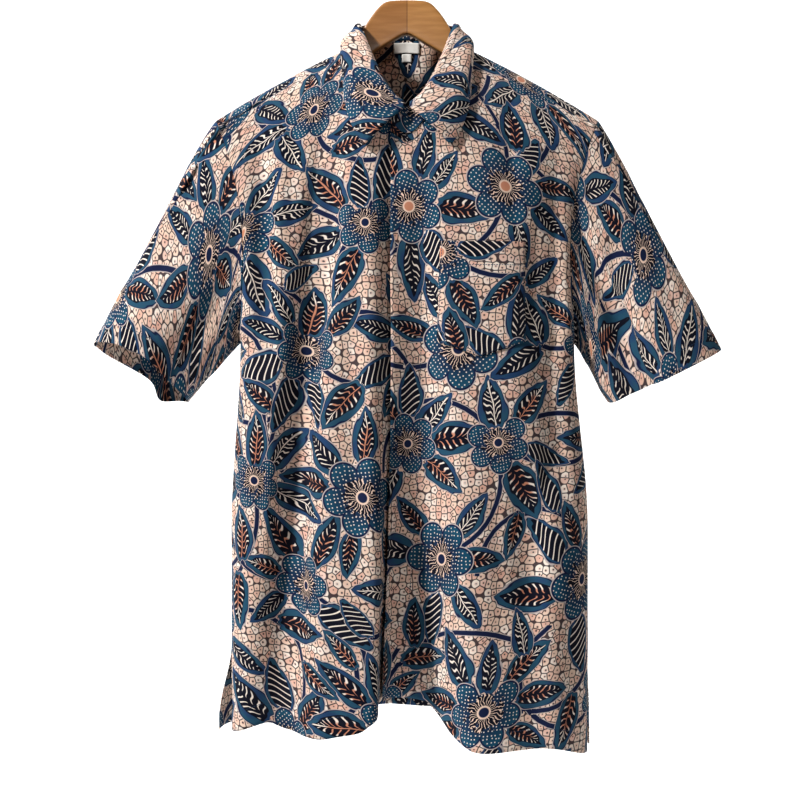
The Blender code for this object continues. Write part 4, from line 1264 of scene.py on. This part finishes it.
def start_motif(name):
    """A group that gives a motif's colour and the mask of where it lies."""
    tree, wiring, given, out = start_group(
        name, (("Place", "NodeSocketVector"),),
        (("Mask", "NodeSocketFloat"), ("Colour", "NodeSocketColor")))
    return tree, wiring, given.outputs["Place"], out


CREAM = (0.80, 0.61, 0.49)
SHELL_PINK = (0.70, 0.38, 0.29)
WAX_WHITE = (0.86, 0.76, 0.67)
WAX_LINE = (0.52, 0.45, 0.43)
OUTLINE = (0.050, 0.034, 0.042)
INK = (0.0070, 0.0085, 0.0190)
NAVY = (0.0110, 0.0200, 0.0640)
TEAL = (0.0280, 0.0930, 0.1500)
INDIGO = (0.0260, 0.0660, 0.1500)
PETAL = (0.0150, 0.0860, 0.1450)
PEACH = (0.60, 0.27, 0.17)
THREAD = (0.030, 0.060, 0.110)
WEAVE_SHADE = (0.26, 0.20, 0.20)
LABEL_TONES = ((0.72, 0.71, 0.66), (0.86, 0.85, 0.81))
# the hanger's wood in two copies: the left half is painted darker as shade and the right half
# lighter as light, though it is one wood
WOOD_SHADED_LEFT_HALF = ((0.34, 0.154, 0.050), (0.42, 0.201, 0.070))
WOOD_LIT_RIGHT_HALF = ((0.42, 0.201, 0.066), (0.52, 0.267, 0.096))
WOOD_SEAM = (0.08, 0.03, 0.01)

# The drawing of the motifs. Along and across a leaf and round a bloom, sizes are
# shares of its length, half width or radius; a drawn line's edge is this soft.
DRAWN_EDGE = 0.03
CELLS_A_METRE = 134.0
CELL_RANDOMNESS = 0.68
LEAF_NOISE = 2.8
LEAF_SHAKE = (0.16, 0.36)
LEAF_TAPER = (0.55, 0.85)
LEAF_FULLNESS = 2.55
LEAF_BORDER = 0.06
LEAF_CORE = 0.34
STRIPED_FROM = 0.80
PEACHY_BELOW = 0.40
RIBBED_BELOW = 0.45
VEINS_A_LEAF = 9.2
STRIPES_A_LEAF = 8.4
BLOOM_PETALS = 6.0
PETAL_MIDDLE = 0.63
PETAL_HALF = 0.37
PETAL_WIDTH = 0.71
PETAL_DOTS = 10.0
HEART_RAYS = 27
HEART_RADIUS = 0.42
STEM_HALF = 0.0029
STEM_CORE = 0.0022
STITCHES_A_METRE = 360.0
STITCH_HALF = 0.00028
THREAD_WAVES = 7800.0
WEAVE_FADE = 0.035


def ground_group():
    """Packed round cells, each with a dot, drawn in wax."""
    tree, w, given, out = start_group(
        "batik cell ground", (("Cloth", "NodeSocketVector"),), (("Colour", "NodeSocketColor"),))
    place = given.outputs["Cloth"]
    cell = w.cells(place, "F1", CELLS_A_METRE, CELL_RANDOMNESS)
    rim = w.cells(place, "DISTANCE_TO_EDGE", CELLS_A_METRE, CELL_RANDOMNESS)
    parts = w.node("ShaderNodeSeparateColor")
    w.feed(parts.inputs[0], cell.outputs["Color"])
    away = cell.outputs["Distance"]
    tone = w.paint(w.step(parts.outputs[0], 0.50, 0.30), CREAM, WAX_WHITE)
    tone = w.paint(w.times(w.step(parts.outputs[1], 0.72, 0.12), 0.55), tone, SHELL_PINK)
    blot = w.noise(place, 60.0)
    tone = w.paint(w.times(w.step(blot.outputs["Fac"], 0.52, 0.16), 0.40), tone, SHELL_PINK)
    halo = w.times(w.step(away, 0.13, 0.04), w.below(away, 0.22, 0.05))
    tone = w.paint(w.times(halo, 0.45), tone, SHELL_PINK)
    dot_edge = w.calc("ADD", 0.055, w.times(parts.outputs[2], 0.065))
    dot = w.below(away, dot_edge, 0.05)
    tone = w.paint(w.times(dot, 0.94), tone, OUTLINE)
    line = w.calc("MAXIMUM", w.below(rim.outputs["Distance"], 0.046, 0.052),
                 w.step(away, 0.560, 0.07))
    tone = w.paint(w.times(line, 0.95), tone, OUTLINE)
    w.feed(out.inputs["Colour"], tone)
    return tree


def leaf_group():
    """One veined leaf: x runs from its foot to its tip, y across it."""
    tree, w, place, out = start_motif("batik leaf")
    x, y, seed = w.split(place)
    drawn = w.noise(place, LEAF_NOISE, 0.0)
    shake = w.node("ShaderNodeSeparateColor")
    w.feed(shake.inputs[0], drawn.outputs["Color"])
    shift_x = w.times(w.calc("SUBTRACT", shake.outputs[0], 0.5), LEAF_SHAKE[0])
    shift_y = w.times(w.calc("SUBTRACT", shake.outputs[1], 0.5), LEAF_SHAKE[1])
    along = w.calc("ADD", x, shift_x)
    off_line = w.calc("ADD", y, shift_y)
    held = w.calc("MINIMUM", w.calc("MAXIMUM", along, 0.001), 0.999)
    bend = w.times(w.times(held, w.without(held)), w.calc("SUBTRACT", w.times(seed, 1.6), 0.8))
    side = w.calc("ADD", off_line, bend)
    across = w.calc("ABSOLUTE", side)
    from_foot = w.calc("POWER", held, LEAF_TAPER[0])
    from_tip = w.calc("POWER", w.without(held), LEAF_TAPER[1])
    width = w.times(from_foot, from_tip)
    inside = w.calc("SUBTRACT", w.times(width, LEAF_FULLNESS), across)
    ends = w.times(w.calc("GREATER_THAN", along, -0.02), w.calc("LESS_THAN", along, 1.02))
    mask = w.times(w.step(inside, -0.060, DRAWN_EDGE), ends)
    striped = w.calc("GREATER_THAN", seed, STRIPED_FROM)
    peachy = w.calc("LESS_THAN", seed, PEACHY_BELOW)

    # outline, dyed border and dark core
    tone = w.paint(w.step(inside, 0.0, DRAWN_EDGE), WAX_LINE, NAVY)
    dyed = w.paint(w.step(drawn.outputs["Fac"], 0.36, 0.16), INDIGO, TEAL)
    tone = w.paint(w.step(inside, LEAF_BORDER, DRAWN_EDGE), tone, dyed)
    core_edge = w.calc("SUBTRACT", LEAF_CORE, w.times(striped, 0.10))
    core = w.step(inside, core_edge, DRAWN_EDGE)
    tone = w.paint(w.times(core, w.step(along, 0.05, 0.02)), tone, INK)

    # slanted veins, alternating on the two sides, and the rib that some leaves have
    curl = w.calc("SUBTRACT", w.times(across, 3.2), w.times(w.times(across, across), 1.4))
    turned = w.times(w.calc("GREATER_THAN", side, 0.0), 0.5)
    slant = w.calc("ADD", w.calc("SUBTRACT", w.times(along, VEINS_A_LEAF), curl), turned)
    stroke_edge = w.calc("SUBTRACT", 0.375, w.times(across, 0.12))
    stroke = w.step(w.calc("PINGPONG", slant, 0.5), stroke_edge, 0.07)
    reach = w.times(w.step(inside, 0.42, 0.04), w.step(across, 0.06, 0.04))
    length = w.times(w.step(along, 0.12, DRAWN_EDGE), w.below(along, 0.88, DRAWN_EDGE))
    reach = w.times(reach, length)
    feather = w.times(stroke, reach)
    low = w.times(w.below(across, 0.30, 0.08), w.below(along, 0.58, 0.10))
    vein = w.paint(w.times(peachy, low), WAX_WHITE, PEACH)
    rib = w.times(w.below(across, 0.025, DRAWN_EDGE), w.below(along, 0.86, DRAWN_EDGE))
    rib = w.times(rib, w.step(along, 0.03, DRAWN_EDGE))
    rib = w.times(rib, w.calc("LESS_THAN", w.calc("FRACT", w.times(seed, 7.0)), RIBBED_BELOW))
    veined = w.times(w.calc("MAXIMUM", feather, rib), w.without(striped))
    tone = w.paint(veined, tone, vein)

    # the stripes of a striped leaf
    sway = w.times(w.calc("SINE", w.times(y, 2.6)), 0.30)
    bow = w.calc("ADD", w.times(y, 1.1), sway)
    stripes = w.calc("ADD", w.times(x, STRIPES_A_LEAF), bow)
    bar = w.step(w.calc("PINGPONG", stripes, 0.5), 0.365, 0.06)
    bars = w.times(w.times(bar, w.step(inside, 0.24, 0.04)), w.below(along, 0.84, DRAWN_EDGE))
    tone = w.paint(w.times(bars, striped), tone, WAX_WHITE)
    w.feed(out.inputs["Mask"], mask)
    w.feed(out.inputs["Colour"], tone)
    return tree


def bloom_group():
    """One round flower of dotted petals, a unit circle in x and y."""
    tree, w, place, out = start_motif("batik bloom")
    x, y, seed = w.split(place)
    radius = w.calc("SQRT", w.calc("ADD", w.times(x, x), w.times(y, y)))
    angle = w.calc("ARCTAN2", y, x)
    petals = w.calc("ADD", BLOOM_PETALS, w.calc("GREATER_THAN", seed, 0.5))
    half_turn = w.calc("DIVIDE", math.pi, petals)
    turn = w.calc("WRAP", angle, half_turn, w.times(half_turn, -1.0))
    out_way = w.times(radius, w.calc("COSINE", turn))
    side_way = w.times(radius, w.calc("SINE", turn))
    a = w.calc("DIVIDE", w.calc("SUBTRACT", out_way, PETAL_MIDDLE), PETAL_HALF)
    b = w.calc("DIVIDE", side_way, w.times(w.calc("SINE", half_turn), PETAL_WIDTH))
    inside = w.without(w.calc("SQRT", w.calc("ADD", w.times(a, a), w.times(b, b))))
    middle = w.below(radius, 0.46, DRAWN_EDGE)
    kept = w.calc("MAXIMUM", w.step(w.calc("ABSOLUTE", angle), half_turn, 0.02),
                 w.calc("LESS_THAN", seed, 0.25))
    mask = w.calc("MAXIMUM", w.times(w.step(inside, -0.070, DRAWN_EDGE), kept), middle)
    dots = w.cells(place, "F1", PETAL_DOTS, 0.40)
    deep = w.below(radius, 0.50, 0.34)
    petal = w.paint(w.times(deep, 0.75), PETAL, NAVY)
    petal = w.paint(w.below(dots.outputs["Distance"], 0.12, 0.09), petal, WAX_WHITE)
    tone = w.paint(w.step(inside, 0.0, DRAWN_EDGE), WAX_LINE, NAVY)
    tone = w.paint(w.step(inside, 0.12, 0.04), tone, petal)
    fray = w.calc("SUBTRACT", w.noise(place, 6.0).outputs["Fac"], 0.5)
    rays = w.calc("ADD", w.times(angle, HEART_RAYS / (2 * math.pi)), w.times(fray, 3.0))
    ray = w.step(w.calc("PINGPONG", rays, 0.5), 0.33, 0.08)
    ray_end = w.calc("ADD", HEART_RADIUS + 0.01, w.times(fray, 0.9))
    ray = w.times(ray, w.below(radius, ray_end, DRAWN_EDGE))
    heart = w.paint(ray, INK, CREAM)
    bright = w.calc("GREATER_THAN", w.calc("FRACT", w.times(seed, 5.0)), 0.55)
    eye = w.paint(bright, NAVY, PEACH)
    heart = w.paint(w.below(radius, 0.16, 0.02), heart, CREAM)
    heart = w.paint(w.below(radius, 0.115, 0.02), heart, eye)
    heart_edge = w.calc("ADD", HEART_RADIUS, w.times(fray, 0.9))
    tone = w.paint(w.below(radius, heart_edge, DRAWN_EDGE), tone, heart)
    w.feed(out.inputs["Mask"], mask)
    w.feed(out.inputs["Colour"], tone)
    return tree


def stem_group():
    """A curved stem with a pale line on each side; x is the way off its middle."""
    tree, w, place, out = start_motif("batik stem")
    off = w.calc("ABSOLUTE", w.split(place)[0])
    mask = w.below(off, STEM_HALF, 0.0004)
    tone = w.paint(w.step(off, STEM_CORE, 0.0004), NAVY, WAX_LINE)
    w.feed(out.inputs["Mask"], mask)
    w.feed(out.inputs["Colour"], tone)
    return tree


def stitch_group():
    """A row of machine stitches; x is the way off its line, y runs along it."""
    tree, w, given, out = start_group(
        "machine stitching", (("Place", "NodeSocketVector"),), (("Mask", "NodeSocketFloat"),))
    across, along, _ = w.split(given.outputs["Place"])
    dash = w.step(w.calc("PINGPONG", w.times(along, STITCHES_A_METRE), 0.5), 0.14, 0.08)
    thread = w.below(w.calc("ABSOLUTE", across), STITCH_HALF, 0.00015)
    w.feed(out.inputs["Mask"], w.times(dash, thread))
    return tree


def weave_group():
    """Fine plain weave and the soft handle of washed cotton, as a height."""
    tree, w, given, out = start_group(
        "cotton weave", (("Cloth", "NodeSocketVector"),),
        (("Height", "NodeSocketFloat"), ("Fade", "NodeSocketFloat")))
    place = given.outputs["Cloth"]
    across, down, _ = w.split(place)
    warp = w.calc("SINE", w.times(across, THREAD_WAVES))
    weft = w.calc("SINE", w.times(down, THREAD_WAVES))
    threads = w.times(w.times(warp, weft), 0.10)
    soft = w.noise(place, 46.0, 5.0)
    w.feed(out.inputs["Height"], w.calc("ADD", threads, soft.outputs["Fac"]))
    wide = w.noise(place, 17.0, 6.0)
    w.feed(out.inputs["Fade"], w.times(w.step(wide.outputs["Fac"], 0.38, 0.35), WEAVE_FADE))
    return tree


def place_group(w, tree, value):
    made = w.node("ShaderNodeGroup")
    made.node_tree = tree
    w.feed(made.inputs[0], value)
    return made


def start_material(name, roughness, metallic=0.0):
    made = bpy.data.materials.new(name)
    made.use_nodes = True
    shader = made.node_tree.nodes["Principled BSDF"]
    shader.inputs["Roughness"].default_value = roughness
    shader.inputs["Metallic"].default_value = metallic
    return made, Wiring(made.node_tree), shader


def batik_material():
    made, w, shader = start_material("batik_cotton", 0.86)
    shader.inputs["Specular IOR Level"].default_value = 0.10
    shader.inputs["Sheen Weight"].default_value = 0.03
    shader.inputs["Sheen Roughness"].default_value = 0.5
    flat = w.node("ShaderNodeUVMap", uv_map="cloth").outputs[0]
    tone = place_group(w, ground_group(), flat).outputs["Colour"]
    motifs = [("stem", stem_group())]
    leaf = leaf_group()
    motifs += [(name, leaf) for name in LEAF_LAYERS]
    motifs.append(("bloom", bloom_group()))
    for name, tree in motifs:
        where = w.node("ShaderNodeAttribute", attribute_name=name).outputs["Vector"]
        motif = place_group(w, tree, where)
        tone = w.paint(motif.outputs["Mask"], tone, motif.outputs["Colour"])
    sewn = w.node("ShaderNodeAttribute", attribute_name="stitch").outputs["Vector"]
    tone = w.paint(place_group(w, stitch_group(), sewn).outputs["Mask"], tone, THREAD)
    weave = place_group(w, weave_group(), flat)
    tone = w.paint(weave.outputs["Fade"], tone, WEAVE_SHADE)
    w.feed(shader.inputs["Base Color"], tone)
    w.raise_surface(shader, weave.outputs["Height"], 0.35, 0.0012)
    return made


def woven_material():
    made, w, shader = start_material("woven_label", 0.7)
    place = w.node("ShaderNodeTexCoord").outputs["Object"]
    rib = w.node("ShaderNodeTexWave", wave_type="BANDS", bands_direction="Z")
    w.feed(rib.inputs["Vector"], place)
    rib.inputs["Scale"].default_value = 420.0
    w.feed(shader.inputs["Base Color"], w.paint(rib.outputs["Fac"], *LABEL_TONES))
    w.raise_surface(shader, rib.outputs["Fac"], 0.3, 0.0003)
    return made


def wood_material():
    made, w, shader = start_material("honey_wood", 0.36)
    shader.inputs["Coat Weight"].default_value = 0.25
    shader.inputs["Coat Roughness"].default_value = 0.25
    place = w.node("ShaderNodeTexCoord").outputs["Object"]
    across = w.split(place)[0]
    turned = w.node("ShaderNodeMapping")
    w.feed(turned.inputs["Vector"], place)
    turned.inputs["Scale"].default_value = (9.0, 70.0, 70.0)
    grain = w.noise(turned.outputs[0], 3.0, 7.0).outputs["Fac"]
    share = w.step(grain, 0.38, 0.30)
    # painted light and shade: the right half of the hanger takes the lighter, lit copy of the wood
    # and the left half the darker, shaded copy
    half = w.step(across, -0.0005, 0.001)
    tone = w.paint(half, w.paint(share, *WOOD_SHADED_LEFT_HALF), w.paint(share, *WOOD_LIT_RIGHT_HALF))
    seam = w.below(w.calc("ABSOLUTE", across), 0.0003, 0.0004)
    tone = w.paint(w.times(seam, 0.6), tone, WOOD_SEAM)
    w.feed(shader.inputs["Base Color"], tone)
    w.raise_surface(shader, grain, 0.12, 0.0004)
    return made


def plain_material(name, colour, roughness, metallic, grain_scale):
    made, w, shader = start_material(name, roughness, metallic)
    place = w.node("ShaderNodeTexCoord").outputs["Object"]
    grain = w.noise(place, grain_scale)
    worn = tuple(0.82 * value for value in colour)
    w.feed(shader.inputs["Base Color"], w.paint(grain.outputs["Fac"], worn, colour))
    return made


# ---- making the pieces ---------------------------------------------------
def hem_fold(points, normals, places):
    """Thickens the turned-up hem along the last rows."""
    run = places[..., 1] - places[-1:, :, 1]
    share = np.clip((HEM_TURN - run) / FOLD_EDGE + 0.5, 0.0, 1.0)
    return points + normals * (TURNED_LIFT * share * share * (3 - 2 * share))[..., None]


def sewn_lines(places, lines):
    """The way to the nearest row of stitches, and the way along it."""
    found = np.full(places.shape, FAR_AWAY)
    for off, along in lines:
        nearer = np.abs(off) < np.abs(found[..., 0])
        found[..., 0] = np.where(nearer, off, found[..., 0])
        found[..., 1] = np.where(nearer, along, found[..., 1])
    return found


def finished(made, node, material):
    """Gives a sheet its material, joins it to the root body and hides the solid it stands for."""
    made.data.materials.append(material)
    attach(made, "root")
    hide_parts(node)


def sheet_area(points, closed=False):
    wide = np.concatenate([points, points[:, :1]], 1) if closed else points
    a = wide[1:, :-1] - wide[:-1, :-1]
    b = wide[:-1, 1:] - wide[:-1, :-1]
    return float(np.linalg.norm(np.cross(a, b), axis=2).sum())


def show_area(name, points, closed=False):
    print("cloth area", name, round(sheet_area(points, closed), 4))


batik = batik_material()
woven = woven_material()


def printed(node, points, places, normals, wall, lines=(), closed=False, flip=False):
    """One printed and stitched piece of cotton."""
    stitches = sewn_lines(places, lines) if lines else None
    made, corners = shell(node + "_cloth", points, places, normals, wall, closed=closed, flip=flip,
                          stitches=stitches)
    print_on(made, corners, node)
    show_area(node, points, closed)
    finished(made, node, batik)


strip = [mix(-PLACKET_HALF, PLACKET_HALF, index / 8) for index in range(9)]
left_rows = half_panel("front", 1, strip)
under_strip = list(reversed(strip)) + list(UNDER_COLUMNS)
right_rows = half_panel("front", -1, under_strip, under=True)
back_rows = back_panel()
armpit_row = len(ROUND_ANGLES) + len(UPPER_LEVELS) - 1
strip_middle = len(strip) // 2


def body_piece(name, rows, column, flip, seams, creases):
    points = as_array(rows)
    normals = outward(points, False, flip)
    places = cloth_places(points, False, column, armpit_row)
    points = rumple(points, normals, places, RUMPLE_SEEDS[name], RUMPLE_DEPTH, seams)
    points = pressed_in(points, normals, creases)
    points = hem_fold(points, normals, places)
    u, v = places[..., 0], places[..., 1]
    lines = [(v - v[-1:] - HEM_TURN, u)]
    if name == "front_left":
        edge = np.clip((PLACKET_TURN - (u - u[:, :1])) / PLACKET_EDGE + 0.5, 0, 1)
        points = points + normals * (TURNED_LIFT * edge)[..., None]
        lines.append((u - u[:, :1] - PLACKET_TURN, v))
    normals = outward(points, False, flip)
    printed(name, points, places, normals, SHEET_WALL, lines, flip=flip)
    return points, normals, places


left_points, left_normals, left_places = body_piece(
    "front_left", left_rows, strip_middle, False, ("top", "end"), FRONT_CREASES)
body_piece("front_right", right_rows, strip_middle, True, ("top", "end"), FRONT_CREASES)
back_points, back_normals, _ = body_piece(
    "back", back_rows, len(back_rows[0]) // 2, True, ("top", "start", "end"), BACK_CREASES)


def sleeve_piece(side, name, rows):
    points = as_array(rows)
    turn = points.shape[1] // 2
    points = np.roll(points, -turn, 1)
    flip = side > 0
    normals = outward(points, True, flip)
    places = cloth_places(points, True, points.shape[1] // 2, len(points) // 2)
    points = rumple(points, normals, places, RUMPLE_SEEDS[name], RUMPLE_DEPTH, ("top",))
    points = pressed_in(points, normals, SLEEVE_CREASES[side])
    points = hem_fold(points, normals, places[:, :-1])
    normals = outward(points, True, flip)
    u, v = places[..., 0], places[..., 1]
    lines = [(v - v[-1:] - HEM_TURN, u)]
    printed(name, points, places, normals, SHEET_WALL, lines, closed=True, flip=flip)


sleeve_piece(-1, "sleeve_right", sleeve_rows(-1, right_rows, back_rows))
sleeve_piece(1, "sleeve_left", sleeve_rows(1, left_rows, back_rows))

stand = refine(as_array(stand_rows()), 6, 0)
stand = refine(stand, 4, 1)
stand_normals = outward(stand, False, False)
stand_places = cloth_places(stand, False, stand.shape[1] // 2, 0)
printed("collar_stand", stand, stand_places, stand_normals, STAND_SHEET_WALL)

leaf = refine(as_array(leaf_rows()), 4, 0)
leaf = refine(leaf, 3, 1)
leaf_normals = outward(leaf, False, False)
leaf_places = cloth_places(leaf, False, leaf.shape[1] // 2, 0)
leaf = rumple(leaf, leaf_normals, leaf_places, RUMPLE_SEEDS["collar_leaf"], LEAF_RUMPLE_DEPTH, ())
leaf_normals = outward(leaf, False, False)
u, v = leaf_places[..., 0], leaf_places[..., 1]
leaf_lines = [(v - v[-1:] - COLLAR_STITCH, u), (u - u[:, :1] - COLLAR_STITCH, v),
              (u[:, -1:] - u - COLLAR_STITCH, v)]
printed("collar_leaf", leaf, leaf_places, leaf_normals, LEAF_SHEET_WALL, leaf_lines)


def sample(grid, row, column):
    """A grid's value part-way between its rows and columns."""
    r0 = min(int(row), grid.shape[0] - 2)
    c0 = min(int(column), grid.shape[1] - 2)
    a, b = row - r0, column - c0
    upper = grid[r0, c0] * (1 - b) + grid[r0, c0 + 1] * b
    lower = grid[r0 + 1, c0] * (1 - b) + grid[r0 + 1, c0 + 1] * b
    return upper * (1 - a) + lower * a


def find_row(grid, column, z):
    line = grid[:, column, 2]
    return float(np.interp(-z, -line, np.arange(len(line))))


def pocket_points(across, down):
    """The pocket lies on the left front, with a pointed foot."""
    columns = left_points[armpit_row, :, 0]
    inner = float(np.interp(POCKET_X[0], columns, np.arange(len(columns))))
    outer = float(np.interp(POCKET_X[1], columns, np.arange(len(columns))))
    found = []
    moved = []
    for t in range(down + 1):
        line = []
        flat_line = []
        for s in range(across + 1):
            share = s / across
            column = mix(inner, outer, share)
            foot = POCKET_Z[1] - POCKET_POINT * (1.0 - abs(2.0 * share - 1.0))
            top = find_row(left_points, int(column), POCKET_Z[0])
            low = find_row(left_points, int(column), foot)
            row = mix(top, low, t / down)
            lift = POCKET_LIFT
            if t == 0 and 0 < s < across:
                lift += POCKET_MOUTH
            normal = sample(left_normals, row, column)
            line.append(sample(left_points, row, column) + normal * lift)
            flat_line.append(sample(left_places, row, column) + np.array(POCKET_PRINT_SHIFT))
        found.append(line)
        moved.append(flat_line)
    return np.array(found), np.array(moved)


pocket, pocket_places = pocket_points(30, 34)
u, v = pocket_places[..., 0], pocket_places[..., 1]
pocket_lines = [(v - v[-1:] - POCKET_STITCH, u), (u - u[:, :1] - POCKET_STITCH, v),
                (u[:, -1:] - u - POCKET_STITCH, v), (v[:1] - v - POCKET_HEM, u)]
printed("pocket", pocket, pocket_places, outward(pocket, False, False), SHEET_WALL, pocket_lines)


def inside_patch(name, half_width, z_top, z_low, steps, wall):
    """A small woven piece sewn inside the back neck."""
    middle = back_points.shape[1] // 2
    line = back_points[armpit_row, :, 0]
    found = []
    for t in range(steps + 1):
        row = find_row(back_points, middle, mix(z_top, z_low, t / steps))
        points = []
        for s in range(steps + 1):
            across = mix(-half_width, half_width, s / steps)
            column = float(np.interp(across, line, np.arange(len(line))))
            normal = sample(back_normals, row, column)
            point = sample(back_points, row, column)
            points.append(point - normal * (SHEET_WALL + LABEL_GAP + wall))
        found.append(points)
    points = np.array(found)
    normals = outward(points, False, False)
    places = cloth_places(points, False, 0, 0)
    made, _ = shell(name + "_cloth", points, places, normals, wall)
    show_area(name, points)
    finished(made, name, woven)


for patch in INSIDE_PATCHES:
    inside_patch(*patch)


def smooth_copy(node, name, material, levels):
    """A merged, rounded copy of a solid, for a hard piece."""
    source = bpy.data.objects[node]
    bpy.ops.object.select_all(action="DESELECT")
    mesh = source.data.copy()
    mesh.name = name
    made = bpy.data.objects.new(name, mesh)
    bpy.context.scene.collection.objects.link(made)
    made.select_set(True)
    bpy.context.view_layer.objects.active = made
    bpy.ops.object.mode_set(mode="EDIT")
    bpy.ops.mesh.select_all(action="SELECT")
    bpy.ops.mesh.remove_doubles(threshold=0.00002)
    bpy.ops.mesh.tris_convert_to_quads()
    bpy.ops.object.mode_set(mode="OBJECT")
    soft = made.modifiers.new("Rounding", "SUBSURF")
    soft.levels = levels
    soft.render_levels = levels
    bpy.ops.object.modifier_apply(modifier=soft.name)
    bpy.ops.object.shade_smooth()
    mesh = made.data
    mesh.materials.clear()
    mesh.materials.append(material)
    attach(made, "root")
    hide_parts(node)


smooth_copy("hanger_wood", "hanger_wood_turned", wood_material(), 2)
smooth_copy("hanger_hook", "hanger_hook_wire",
            plain_material("hook_steel", (0.70, 0.70, 0.72), 0.22, 1.0, 60.0), 1)
button_finish = plain_material("shirt_button", (0.05, 0.07, 0.12), 0.4, 0.0, 300.0)
for index in range(BUTTON_COUNT):
    button = bpy.data.objects["hidden_button_%d" % (index + 1)]
    for slot in button.material_slots:
        slot.material = button_finish


# ---- studio --------------------------------------------------------------
# the paper sweep's section, as (y, z), and how wide it is
FLOOR_PROFILE = (
    (-1.6, -1.30), (1.6, -1.30), (2.2, -1.22), (2.7, -1.0), (3.0, -0.6), (3.1, 0.0), (3.1, 4.5),
)
FLOOR_HALF = 9.0
PAPER = (0.93, 0.93, 0.93, 1.0)
WHITE = (1.0, 1.0, 1.0, 1.0)
# how bright the world is as light, and as the wall that shows beyond the paper
WORLD_LIGHT = 0.02
WALL_LIGHT = 0.75
LAMPS = (
    # name, place, aim, size, power
    ("key", (-2.0, -1.4, 1.35), (0.0, 0.0, -0.45), 0.40, 105.0),
    ("right fill", (2.0, -1.8, 0.9), (0.0, 0.0, -0.5), 1.0, 7.0),
    ("backdrop left", (-1.6, 0.9, 1.2), (-0.3, 3.1, -0.3), 1.6, 50.0),
    ("backdrop right", (1.6, 0.9, 1.2), (0.3, 3.1, -0.3), 1.6, 50.0),
)
# a soft beam into the open neck
NECK_LAMP = (0.03, -1.30, 0.05)
NECK_AIM = (0.0, 0.0, -0.15)
NECK_POWER = 8.0
NECK_CONE = math.radians(11.0)
NECK_SOFTNESS = 0.12
VIEW_ANGLE = math.radians(39.70)
VIEW_X = -0.0076
VIEW_Z = -0.498
VIEW_DISTANCE = 1.2


def aimed(lamp, name, place, target):
    """A lamp put at a place and turned towards its target."""
    made = bpy.data.objects.new(name, lamp)
    made.location = place
    aim = Vector(target) - Vector(place)
    made.rotation_euler = aim.to_track_quat("-Z", "Y").to_euler()
    bpy.context.scene.collection.objects.link(made)
    return made


def studio():
    """The paper sweep, the lamps and the camera."""
    bpy.ops.object.select_all(action="DESELECT")
    points = [(x, y, z) for x in (-FLOOR_HALF, FLOOR_HALF) for y, z in FLOOR_PROFILE]
    count = len(FLOOR_PROFILE)
    faces = [(i, i + 1, count + i + 1, count + i) for i in range(count - 1)]
    mesh = bpy.data.meshes.new("studio_floor")
    mesh.from_pydata(points, [], faces)
    mesh.shade_smooth()
    floor = bpy.data.objects.new("studio_floor", mesh)
    bpy.context.scene.collection.objects.link(floor)
    made, _, shader = start_material("studio_paper", 0.95)
    shader.inputs["Base Color"].default_value = PAPER
    mesh.materials.append(made)

    world = bpy.data.worlds.new("studio")
    world.use_nodes = True
    nodes, links = world.node_tree.nodes, world.node_tree.links
    nodes["Background"].inputs[0].default_value = WHITE
    nodes["Background"].inputs[1].default_value = WORLD_LIGHT
    wall = nodes.new("ShaderNodeBackground")
    wall.inputs[0].default_value = WHITE
    wall.inputs[1].default_value = WALL_LIGHT
    path = nodes.new("ShaderNodeLightPath")
    pick = nodes.new("ShaderNodeMixShader")
    links.new(path.outputs["Is Camera Ray"], pick.inputs[0])
    links.new(nodes["Background"].outputs[0], pick.inputs[1])
    links.new(wall.outputs[0], pick.inputs[2])
    links.new(pick.outputs[0], nodes["World Output"].inputs["Surface"])
    bpy.context.scene.world = world
    for name, place, target, size, power in LAMPS:
        lamp = bpy.data.lights.new(name, "AREA")
        lamp.shape = "DISK"
        lamp.size = size
        lamp.energy = power
        aimed(lamp, name, place, target)
    beam = bpy.data.lights.new("neck fill", "SPOT")
    beam.energy = NECK_POWER
    beam.spot_size = NECK_CONE
    beam.spot_blend = 1.0
    beam.shadow_soft_size = NECK_SOFTNESS
    aimed(beam, "neck fill", NECK_LAMP, NECK_AIM).visible_camera = False

    lens = bpy.data.cameras.new("camera")
    lens.sensor_width = 36.0
    lens.angle = VIEW_ANGLE
    camera = bpy.data.objects.new("camera", lens)
    camera.location = (VIEW_X, -VIEW_DISTANCE, VIEW_Z)
    camera.rotation_euler = (math.pi / 2, 0.0, 0.0)
    bpy.context.scene.collection.objects.link(camera)
    bpy.context.scene.camera = camera
    bpy.context.scene.view_settings.view_transform = "Standard"
    bpy.context.scene.view_settings.look = "Medium High Contrast"


studio()
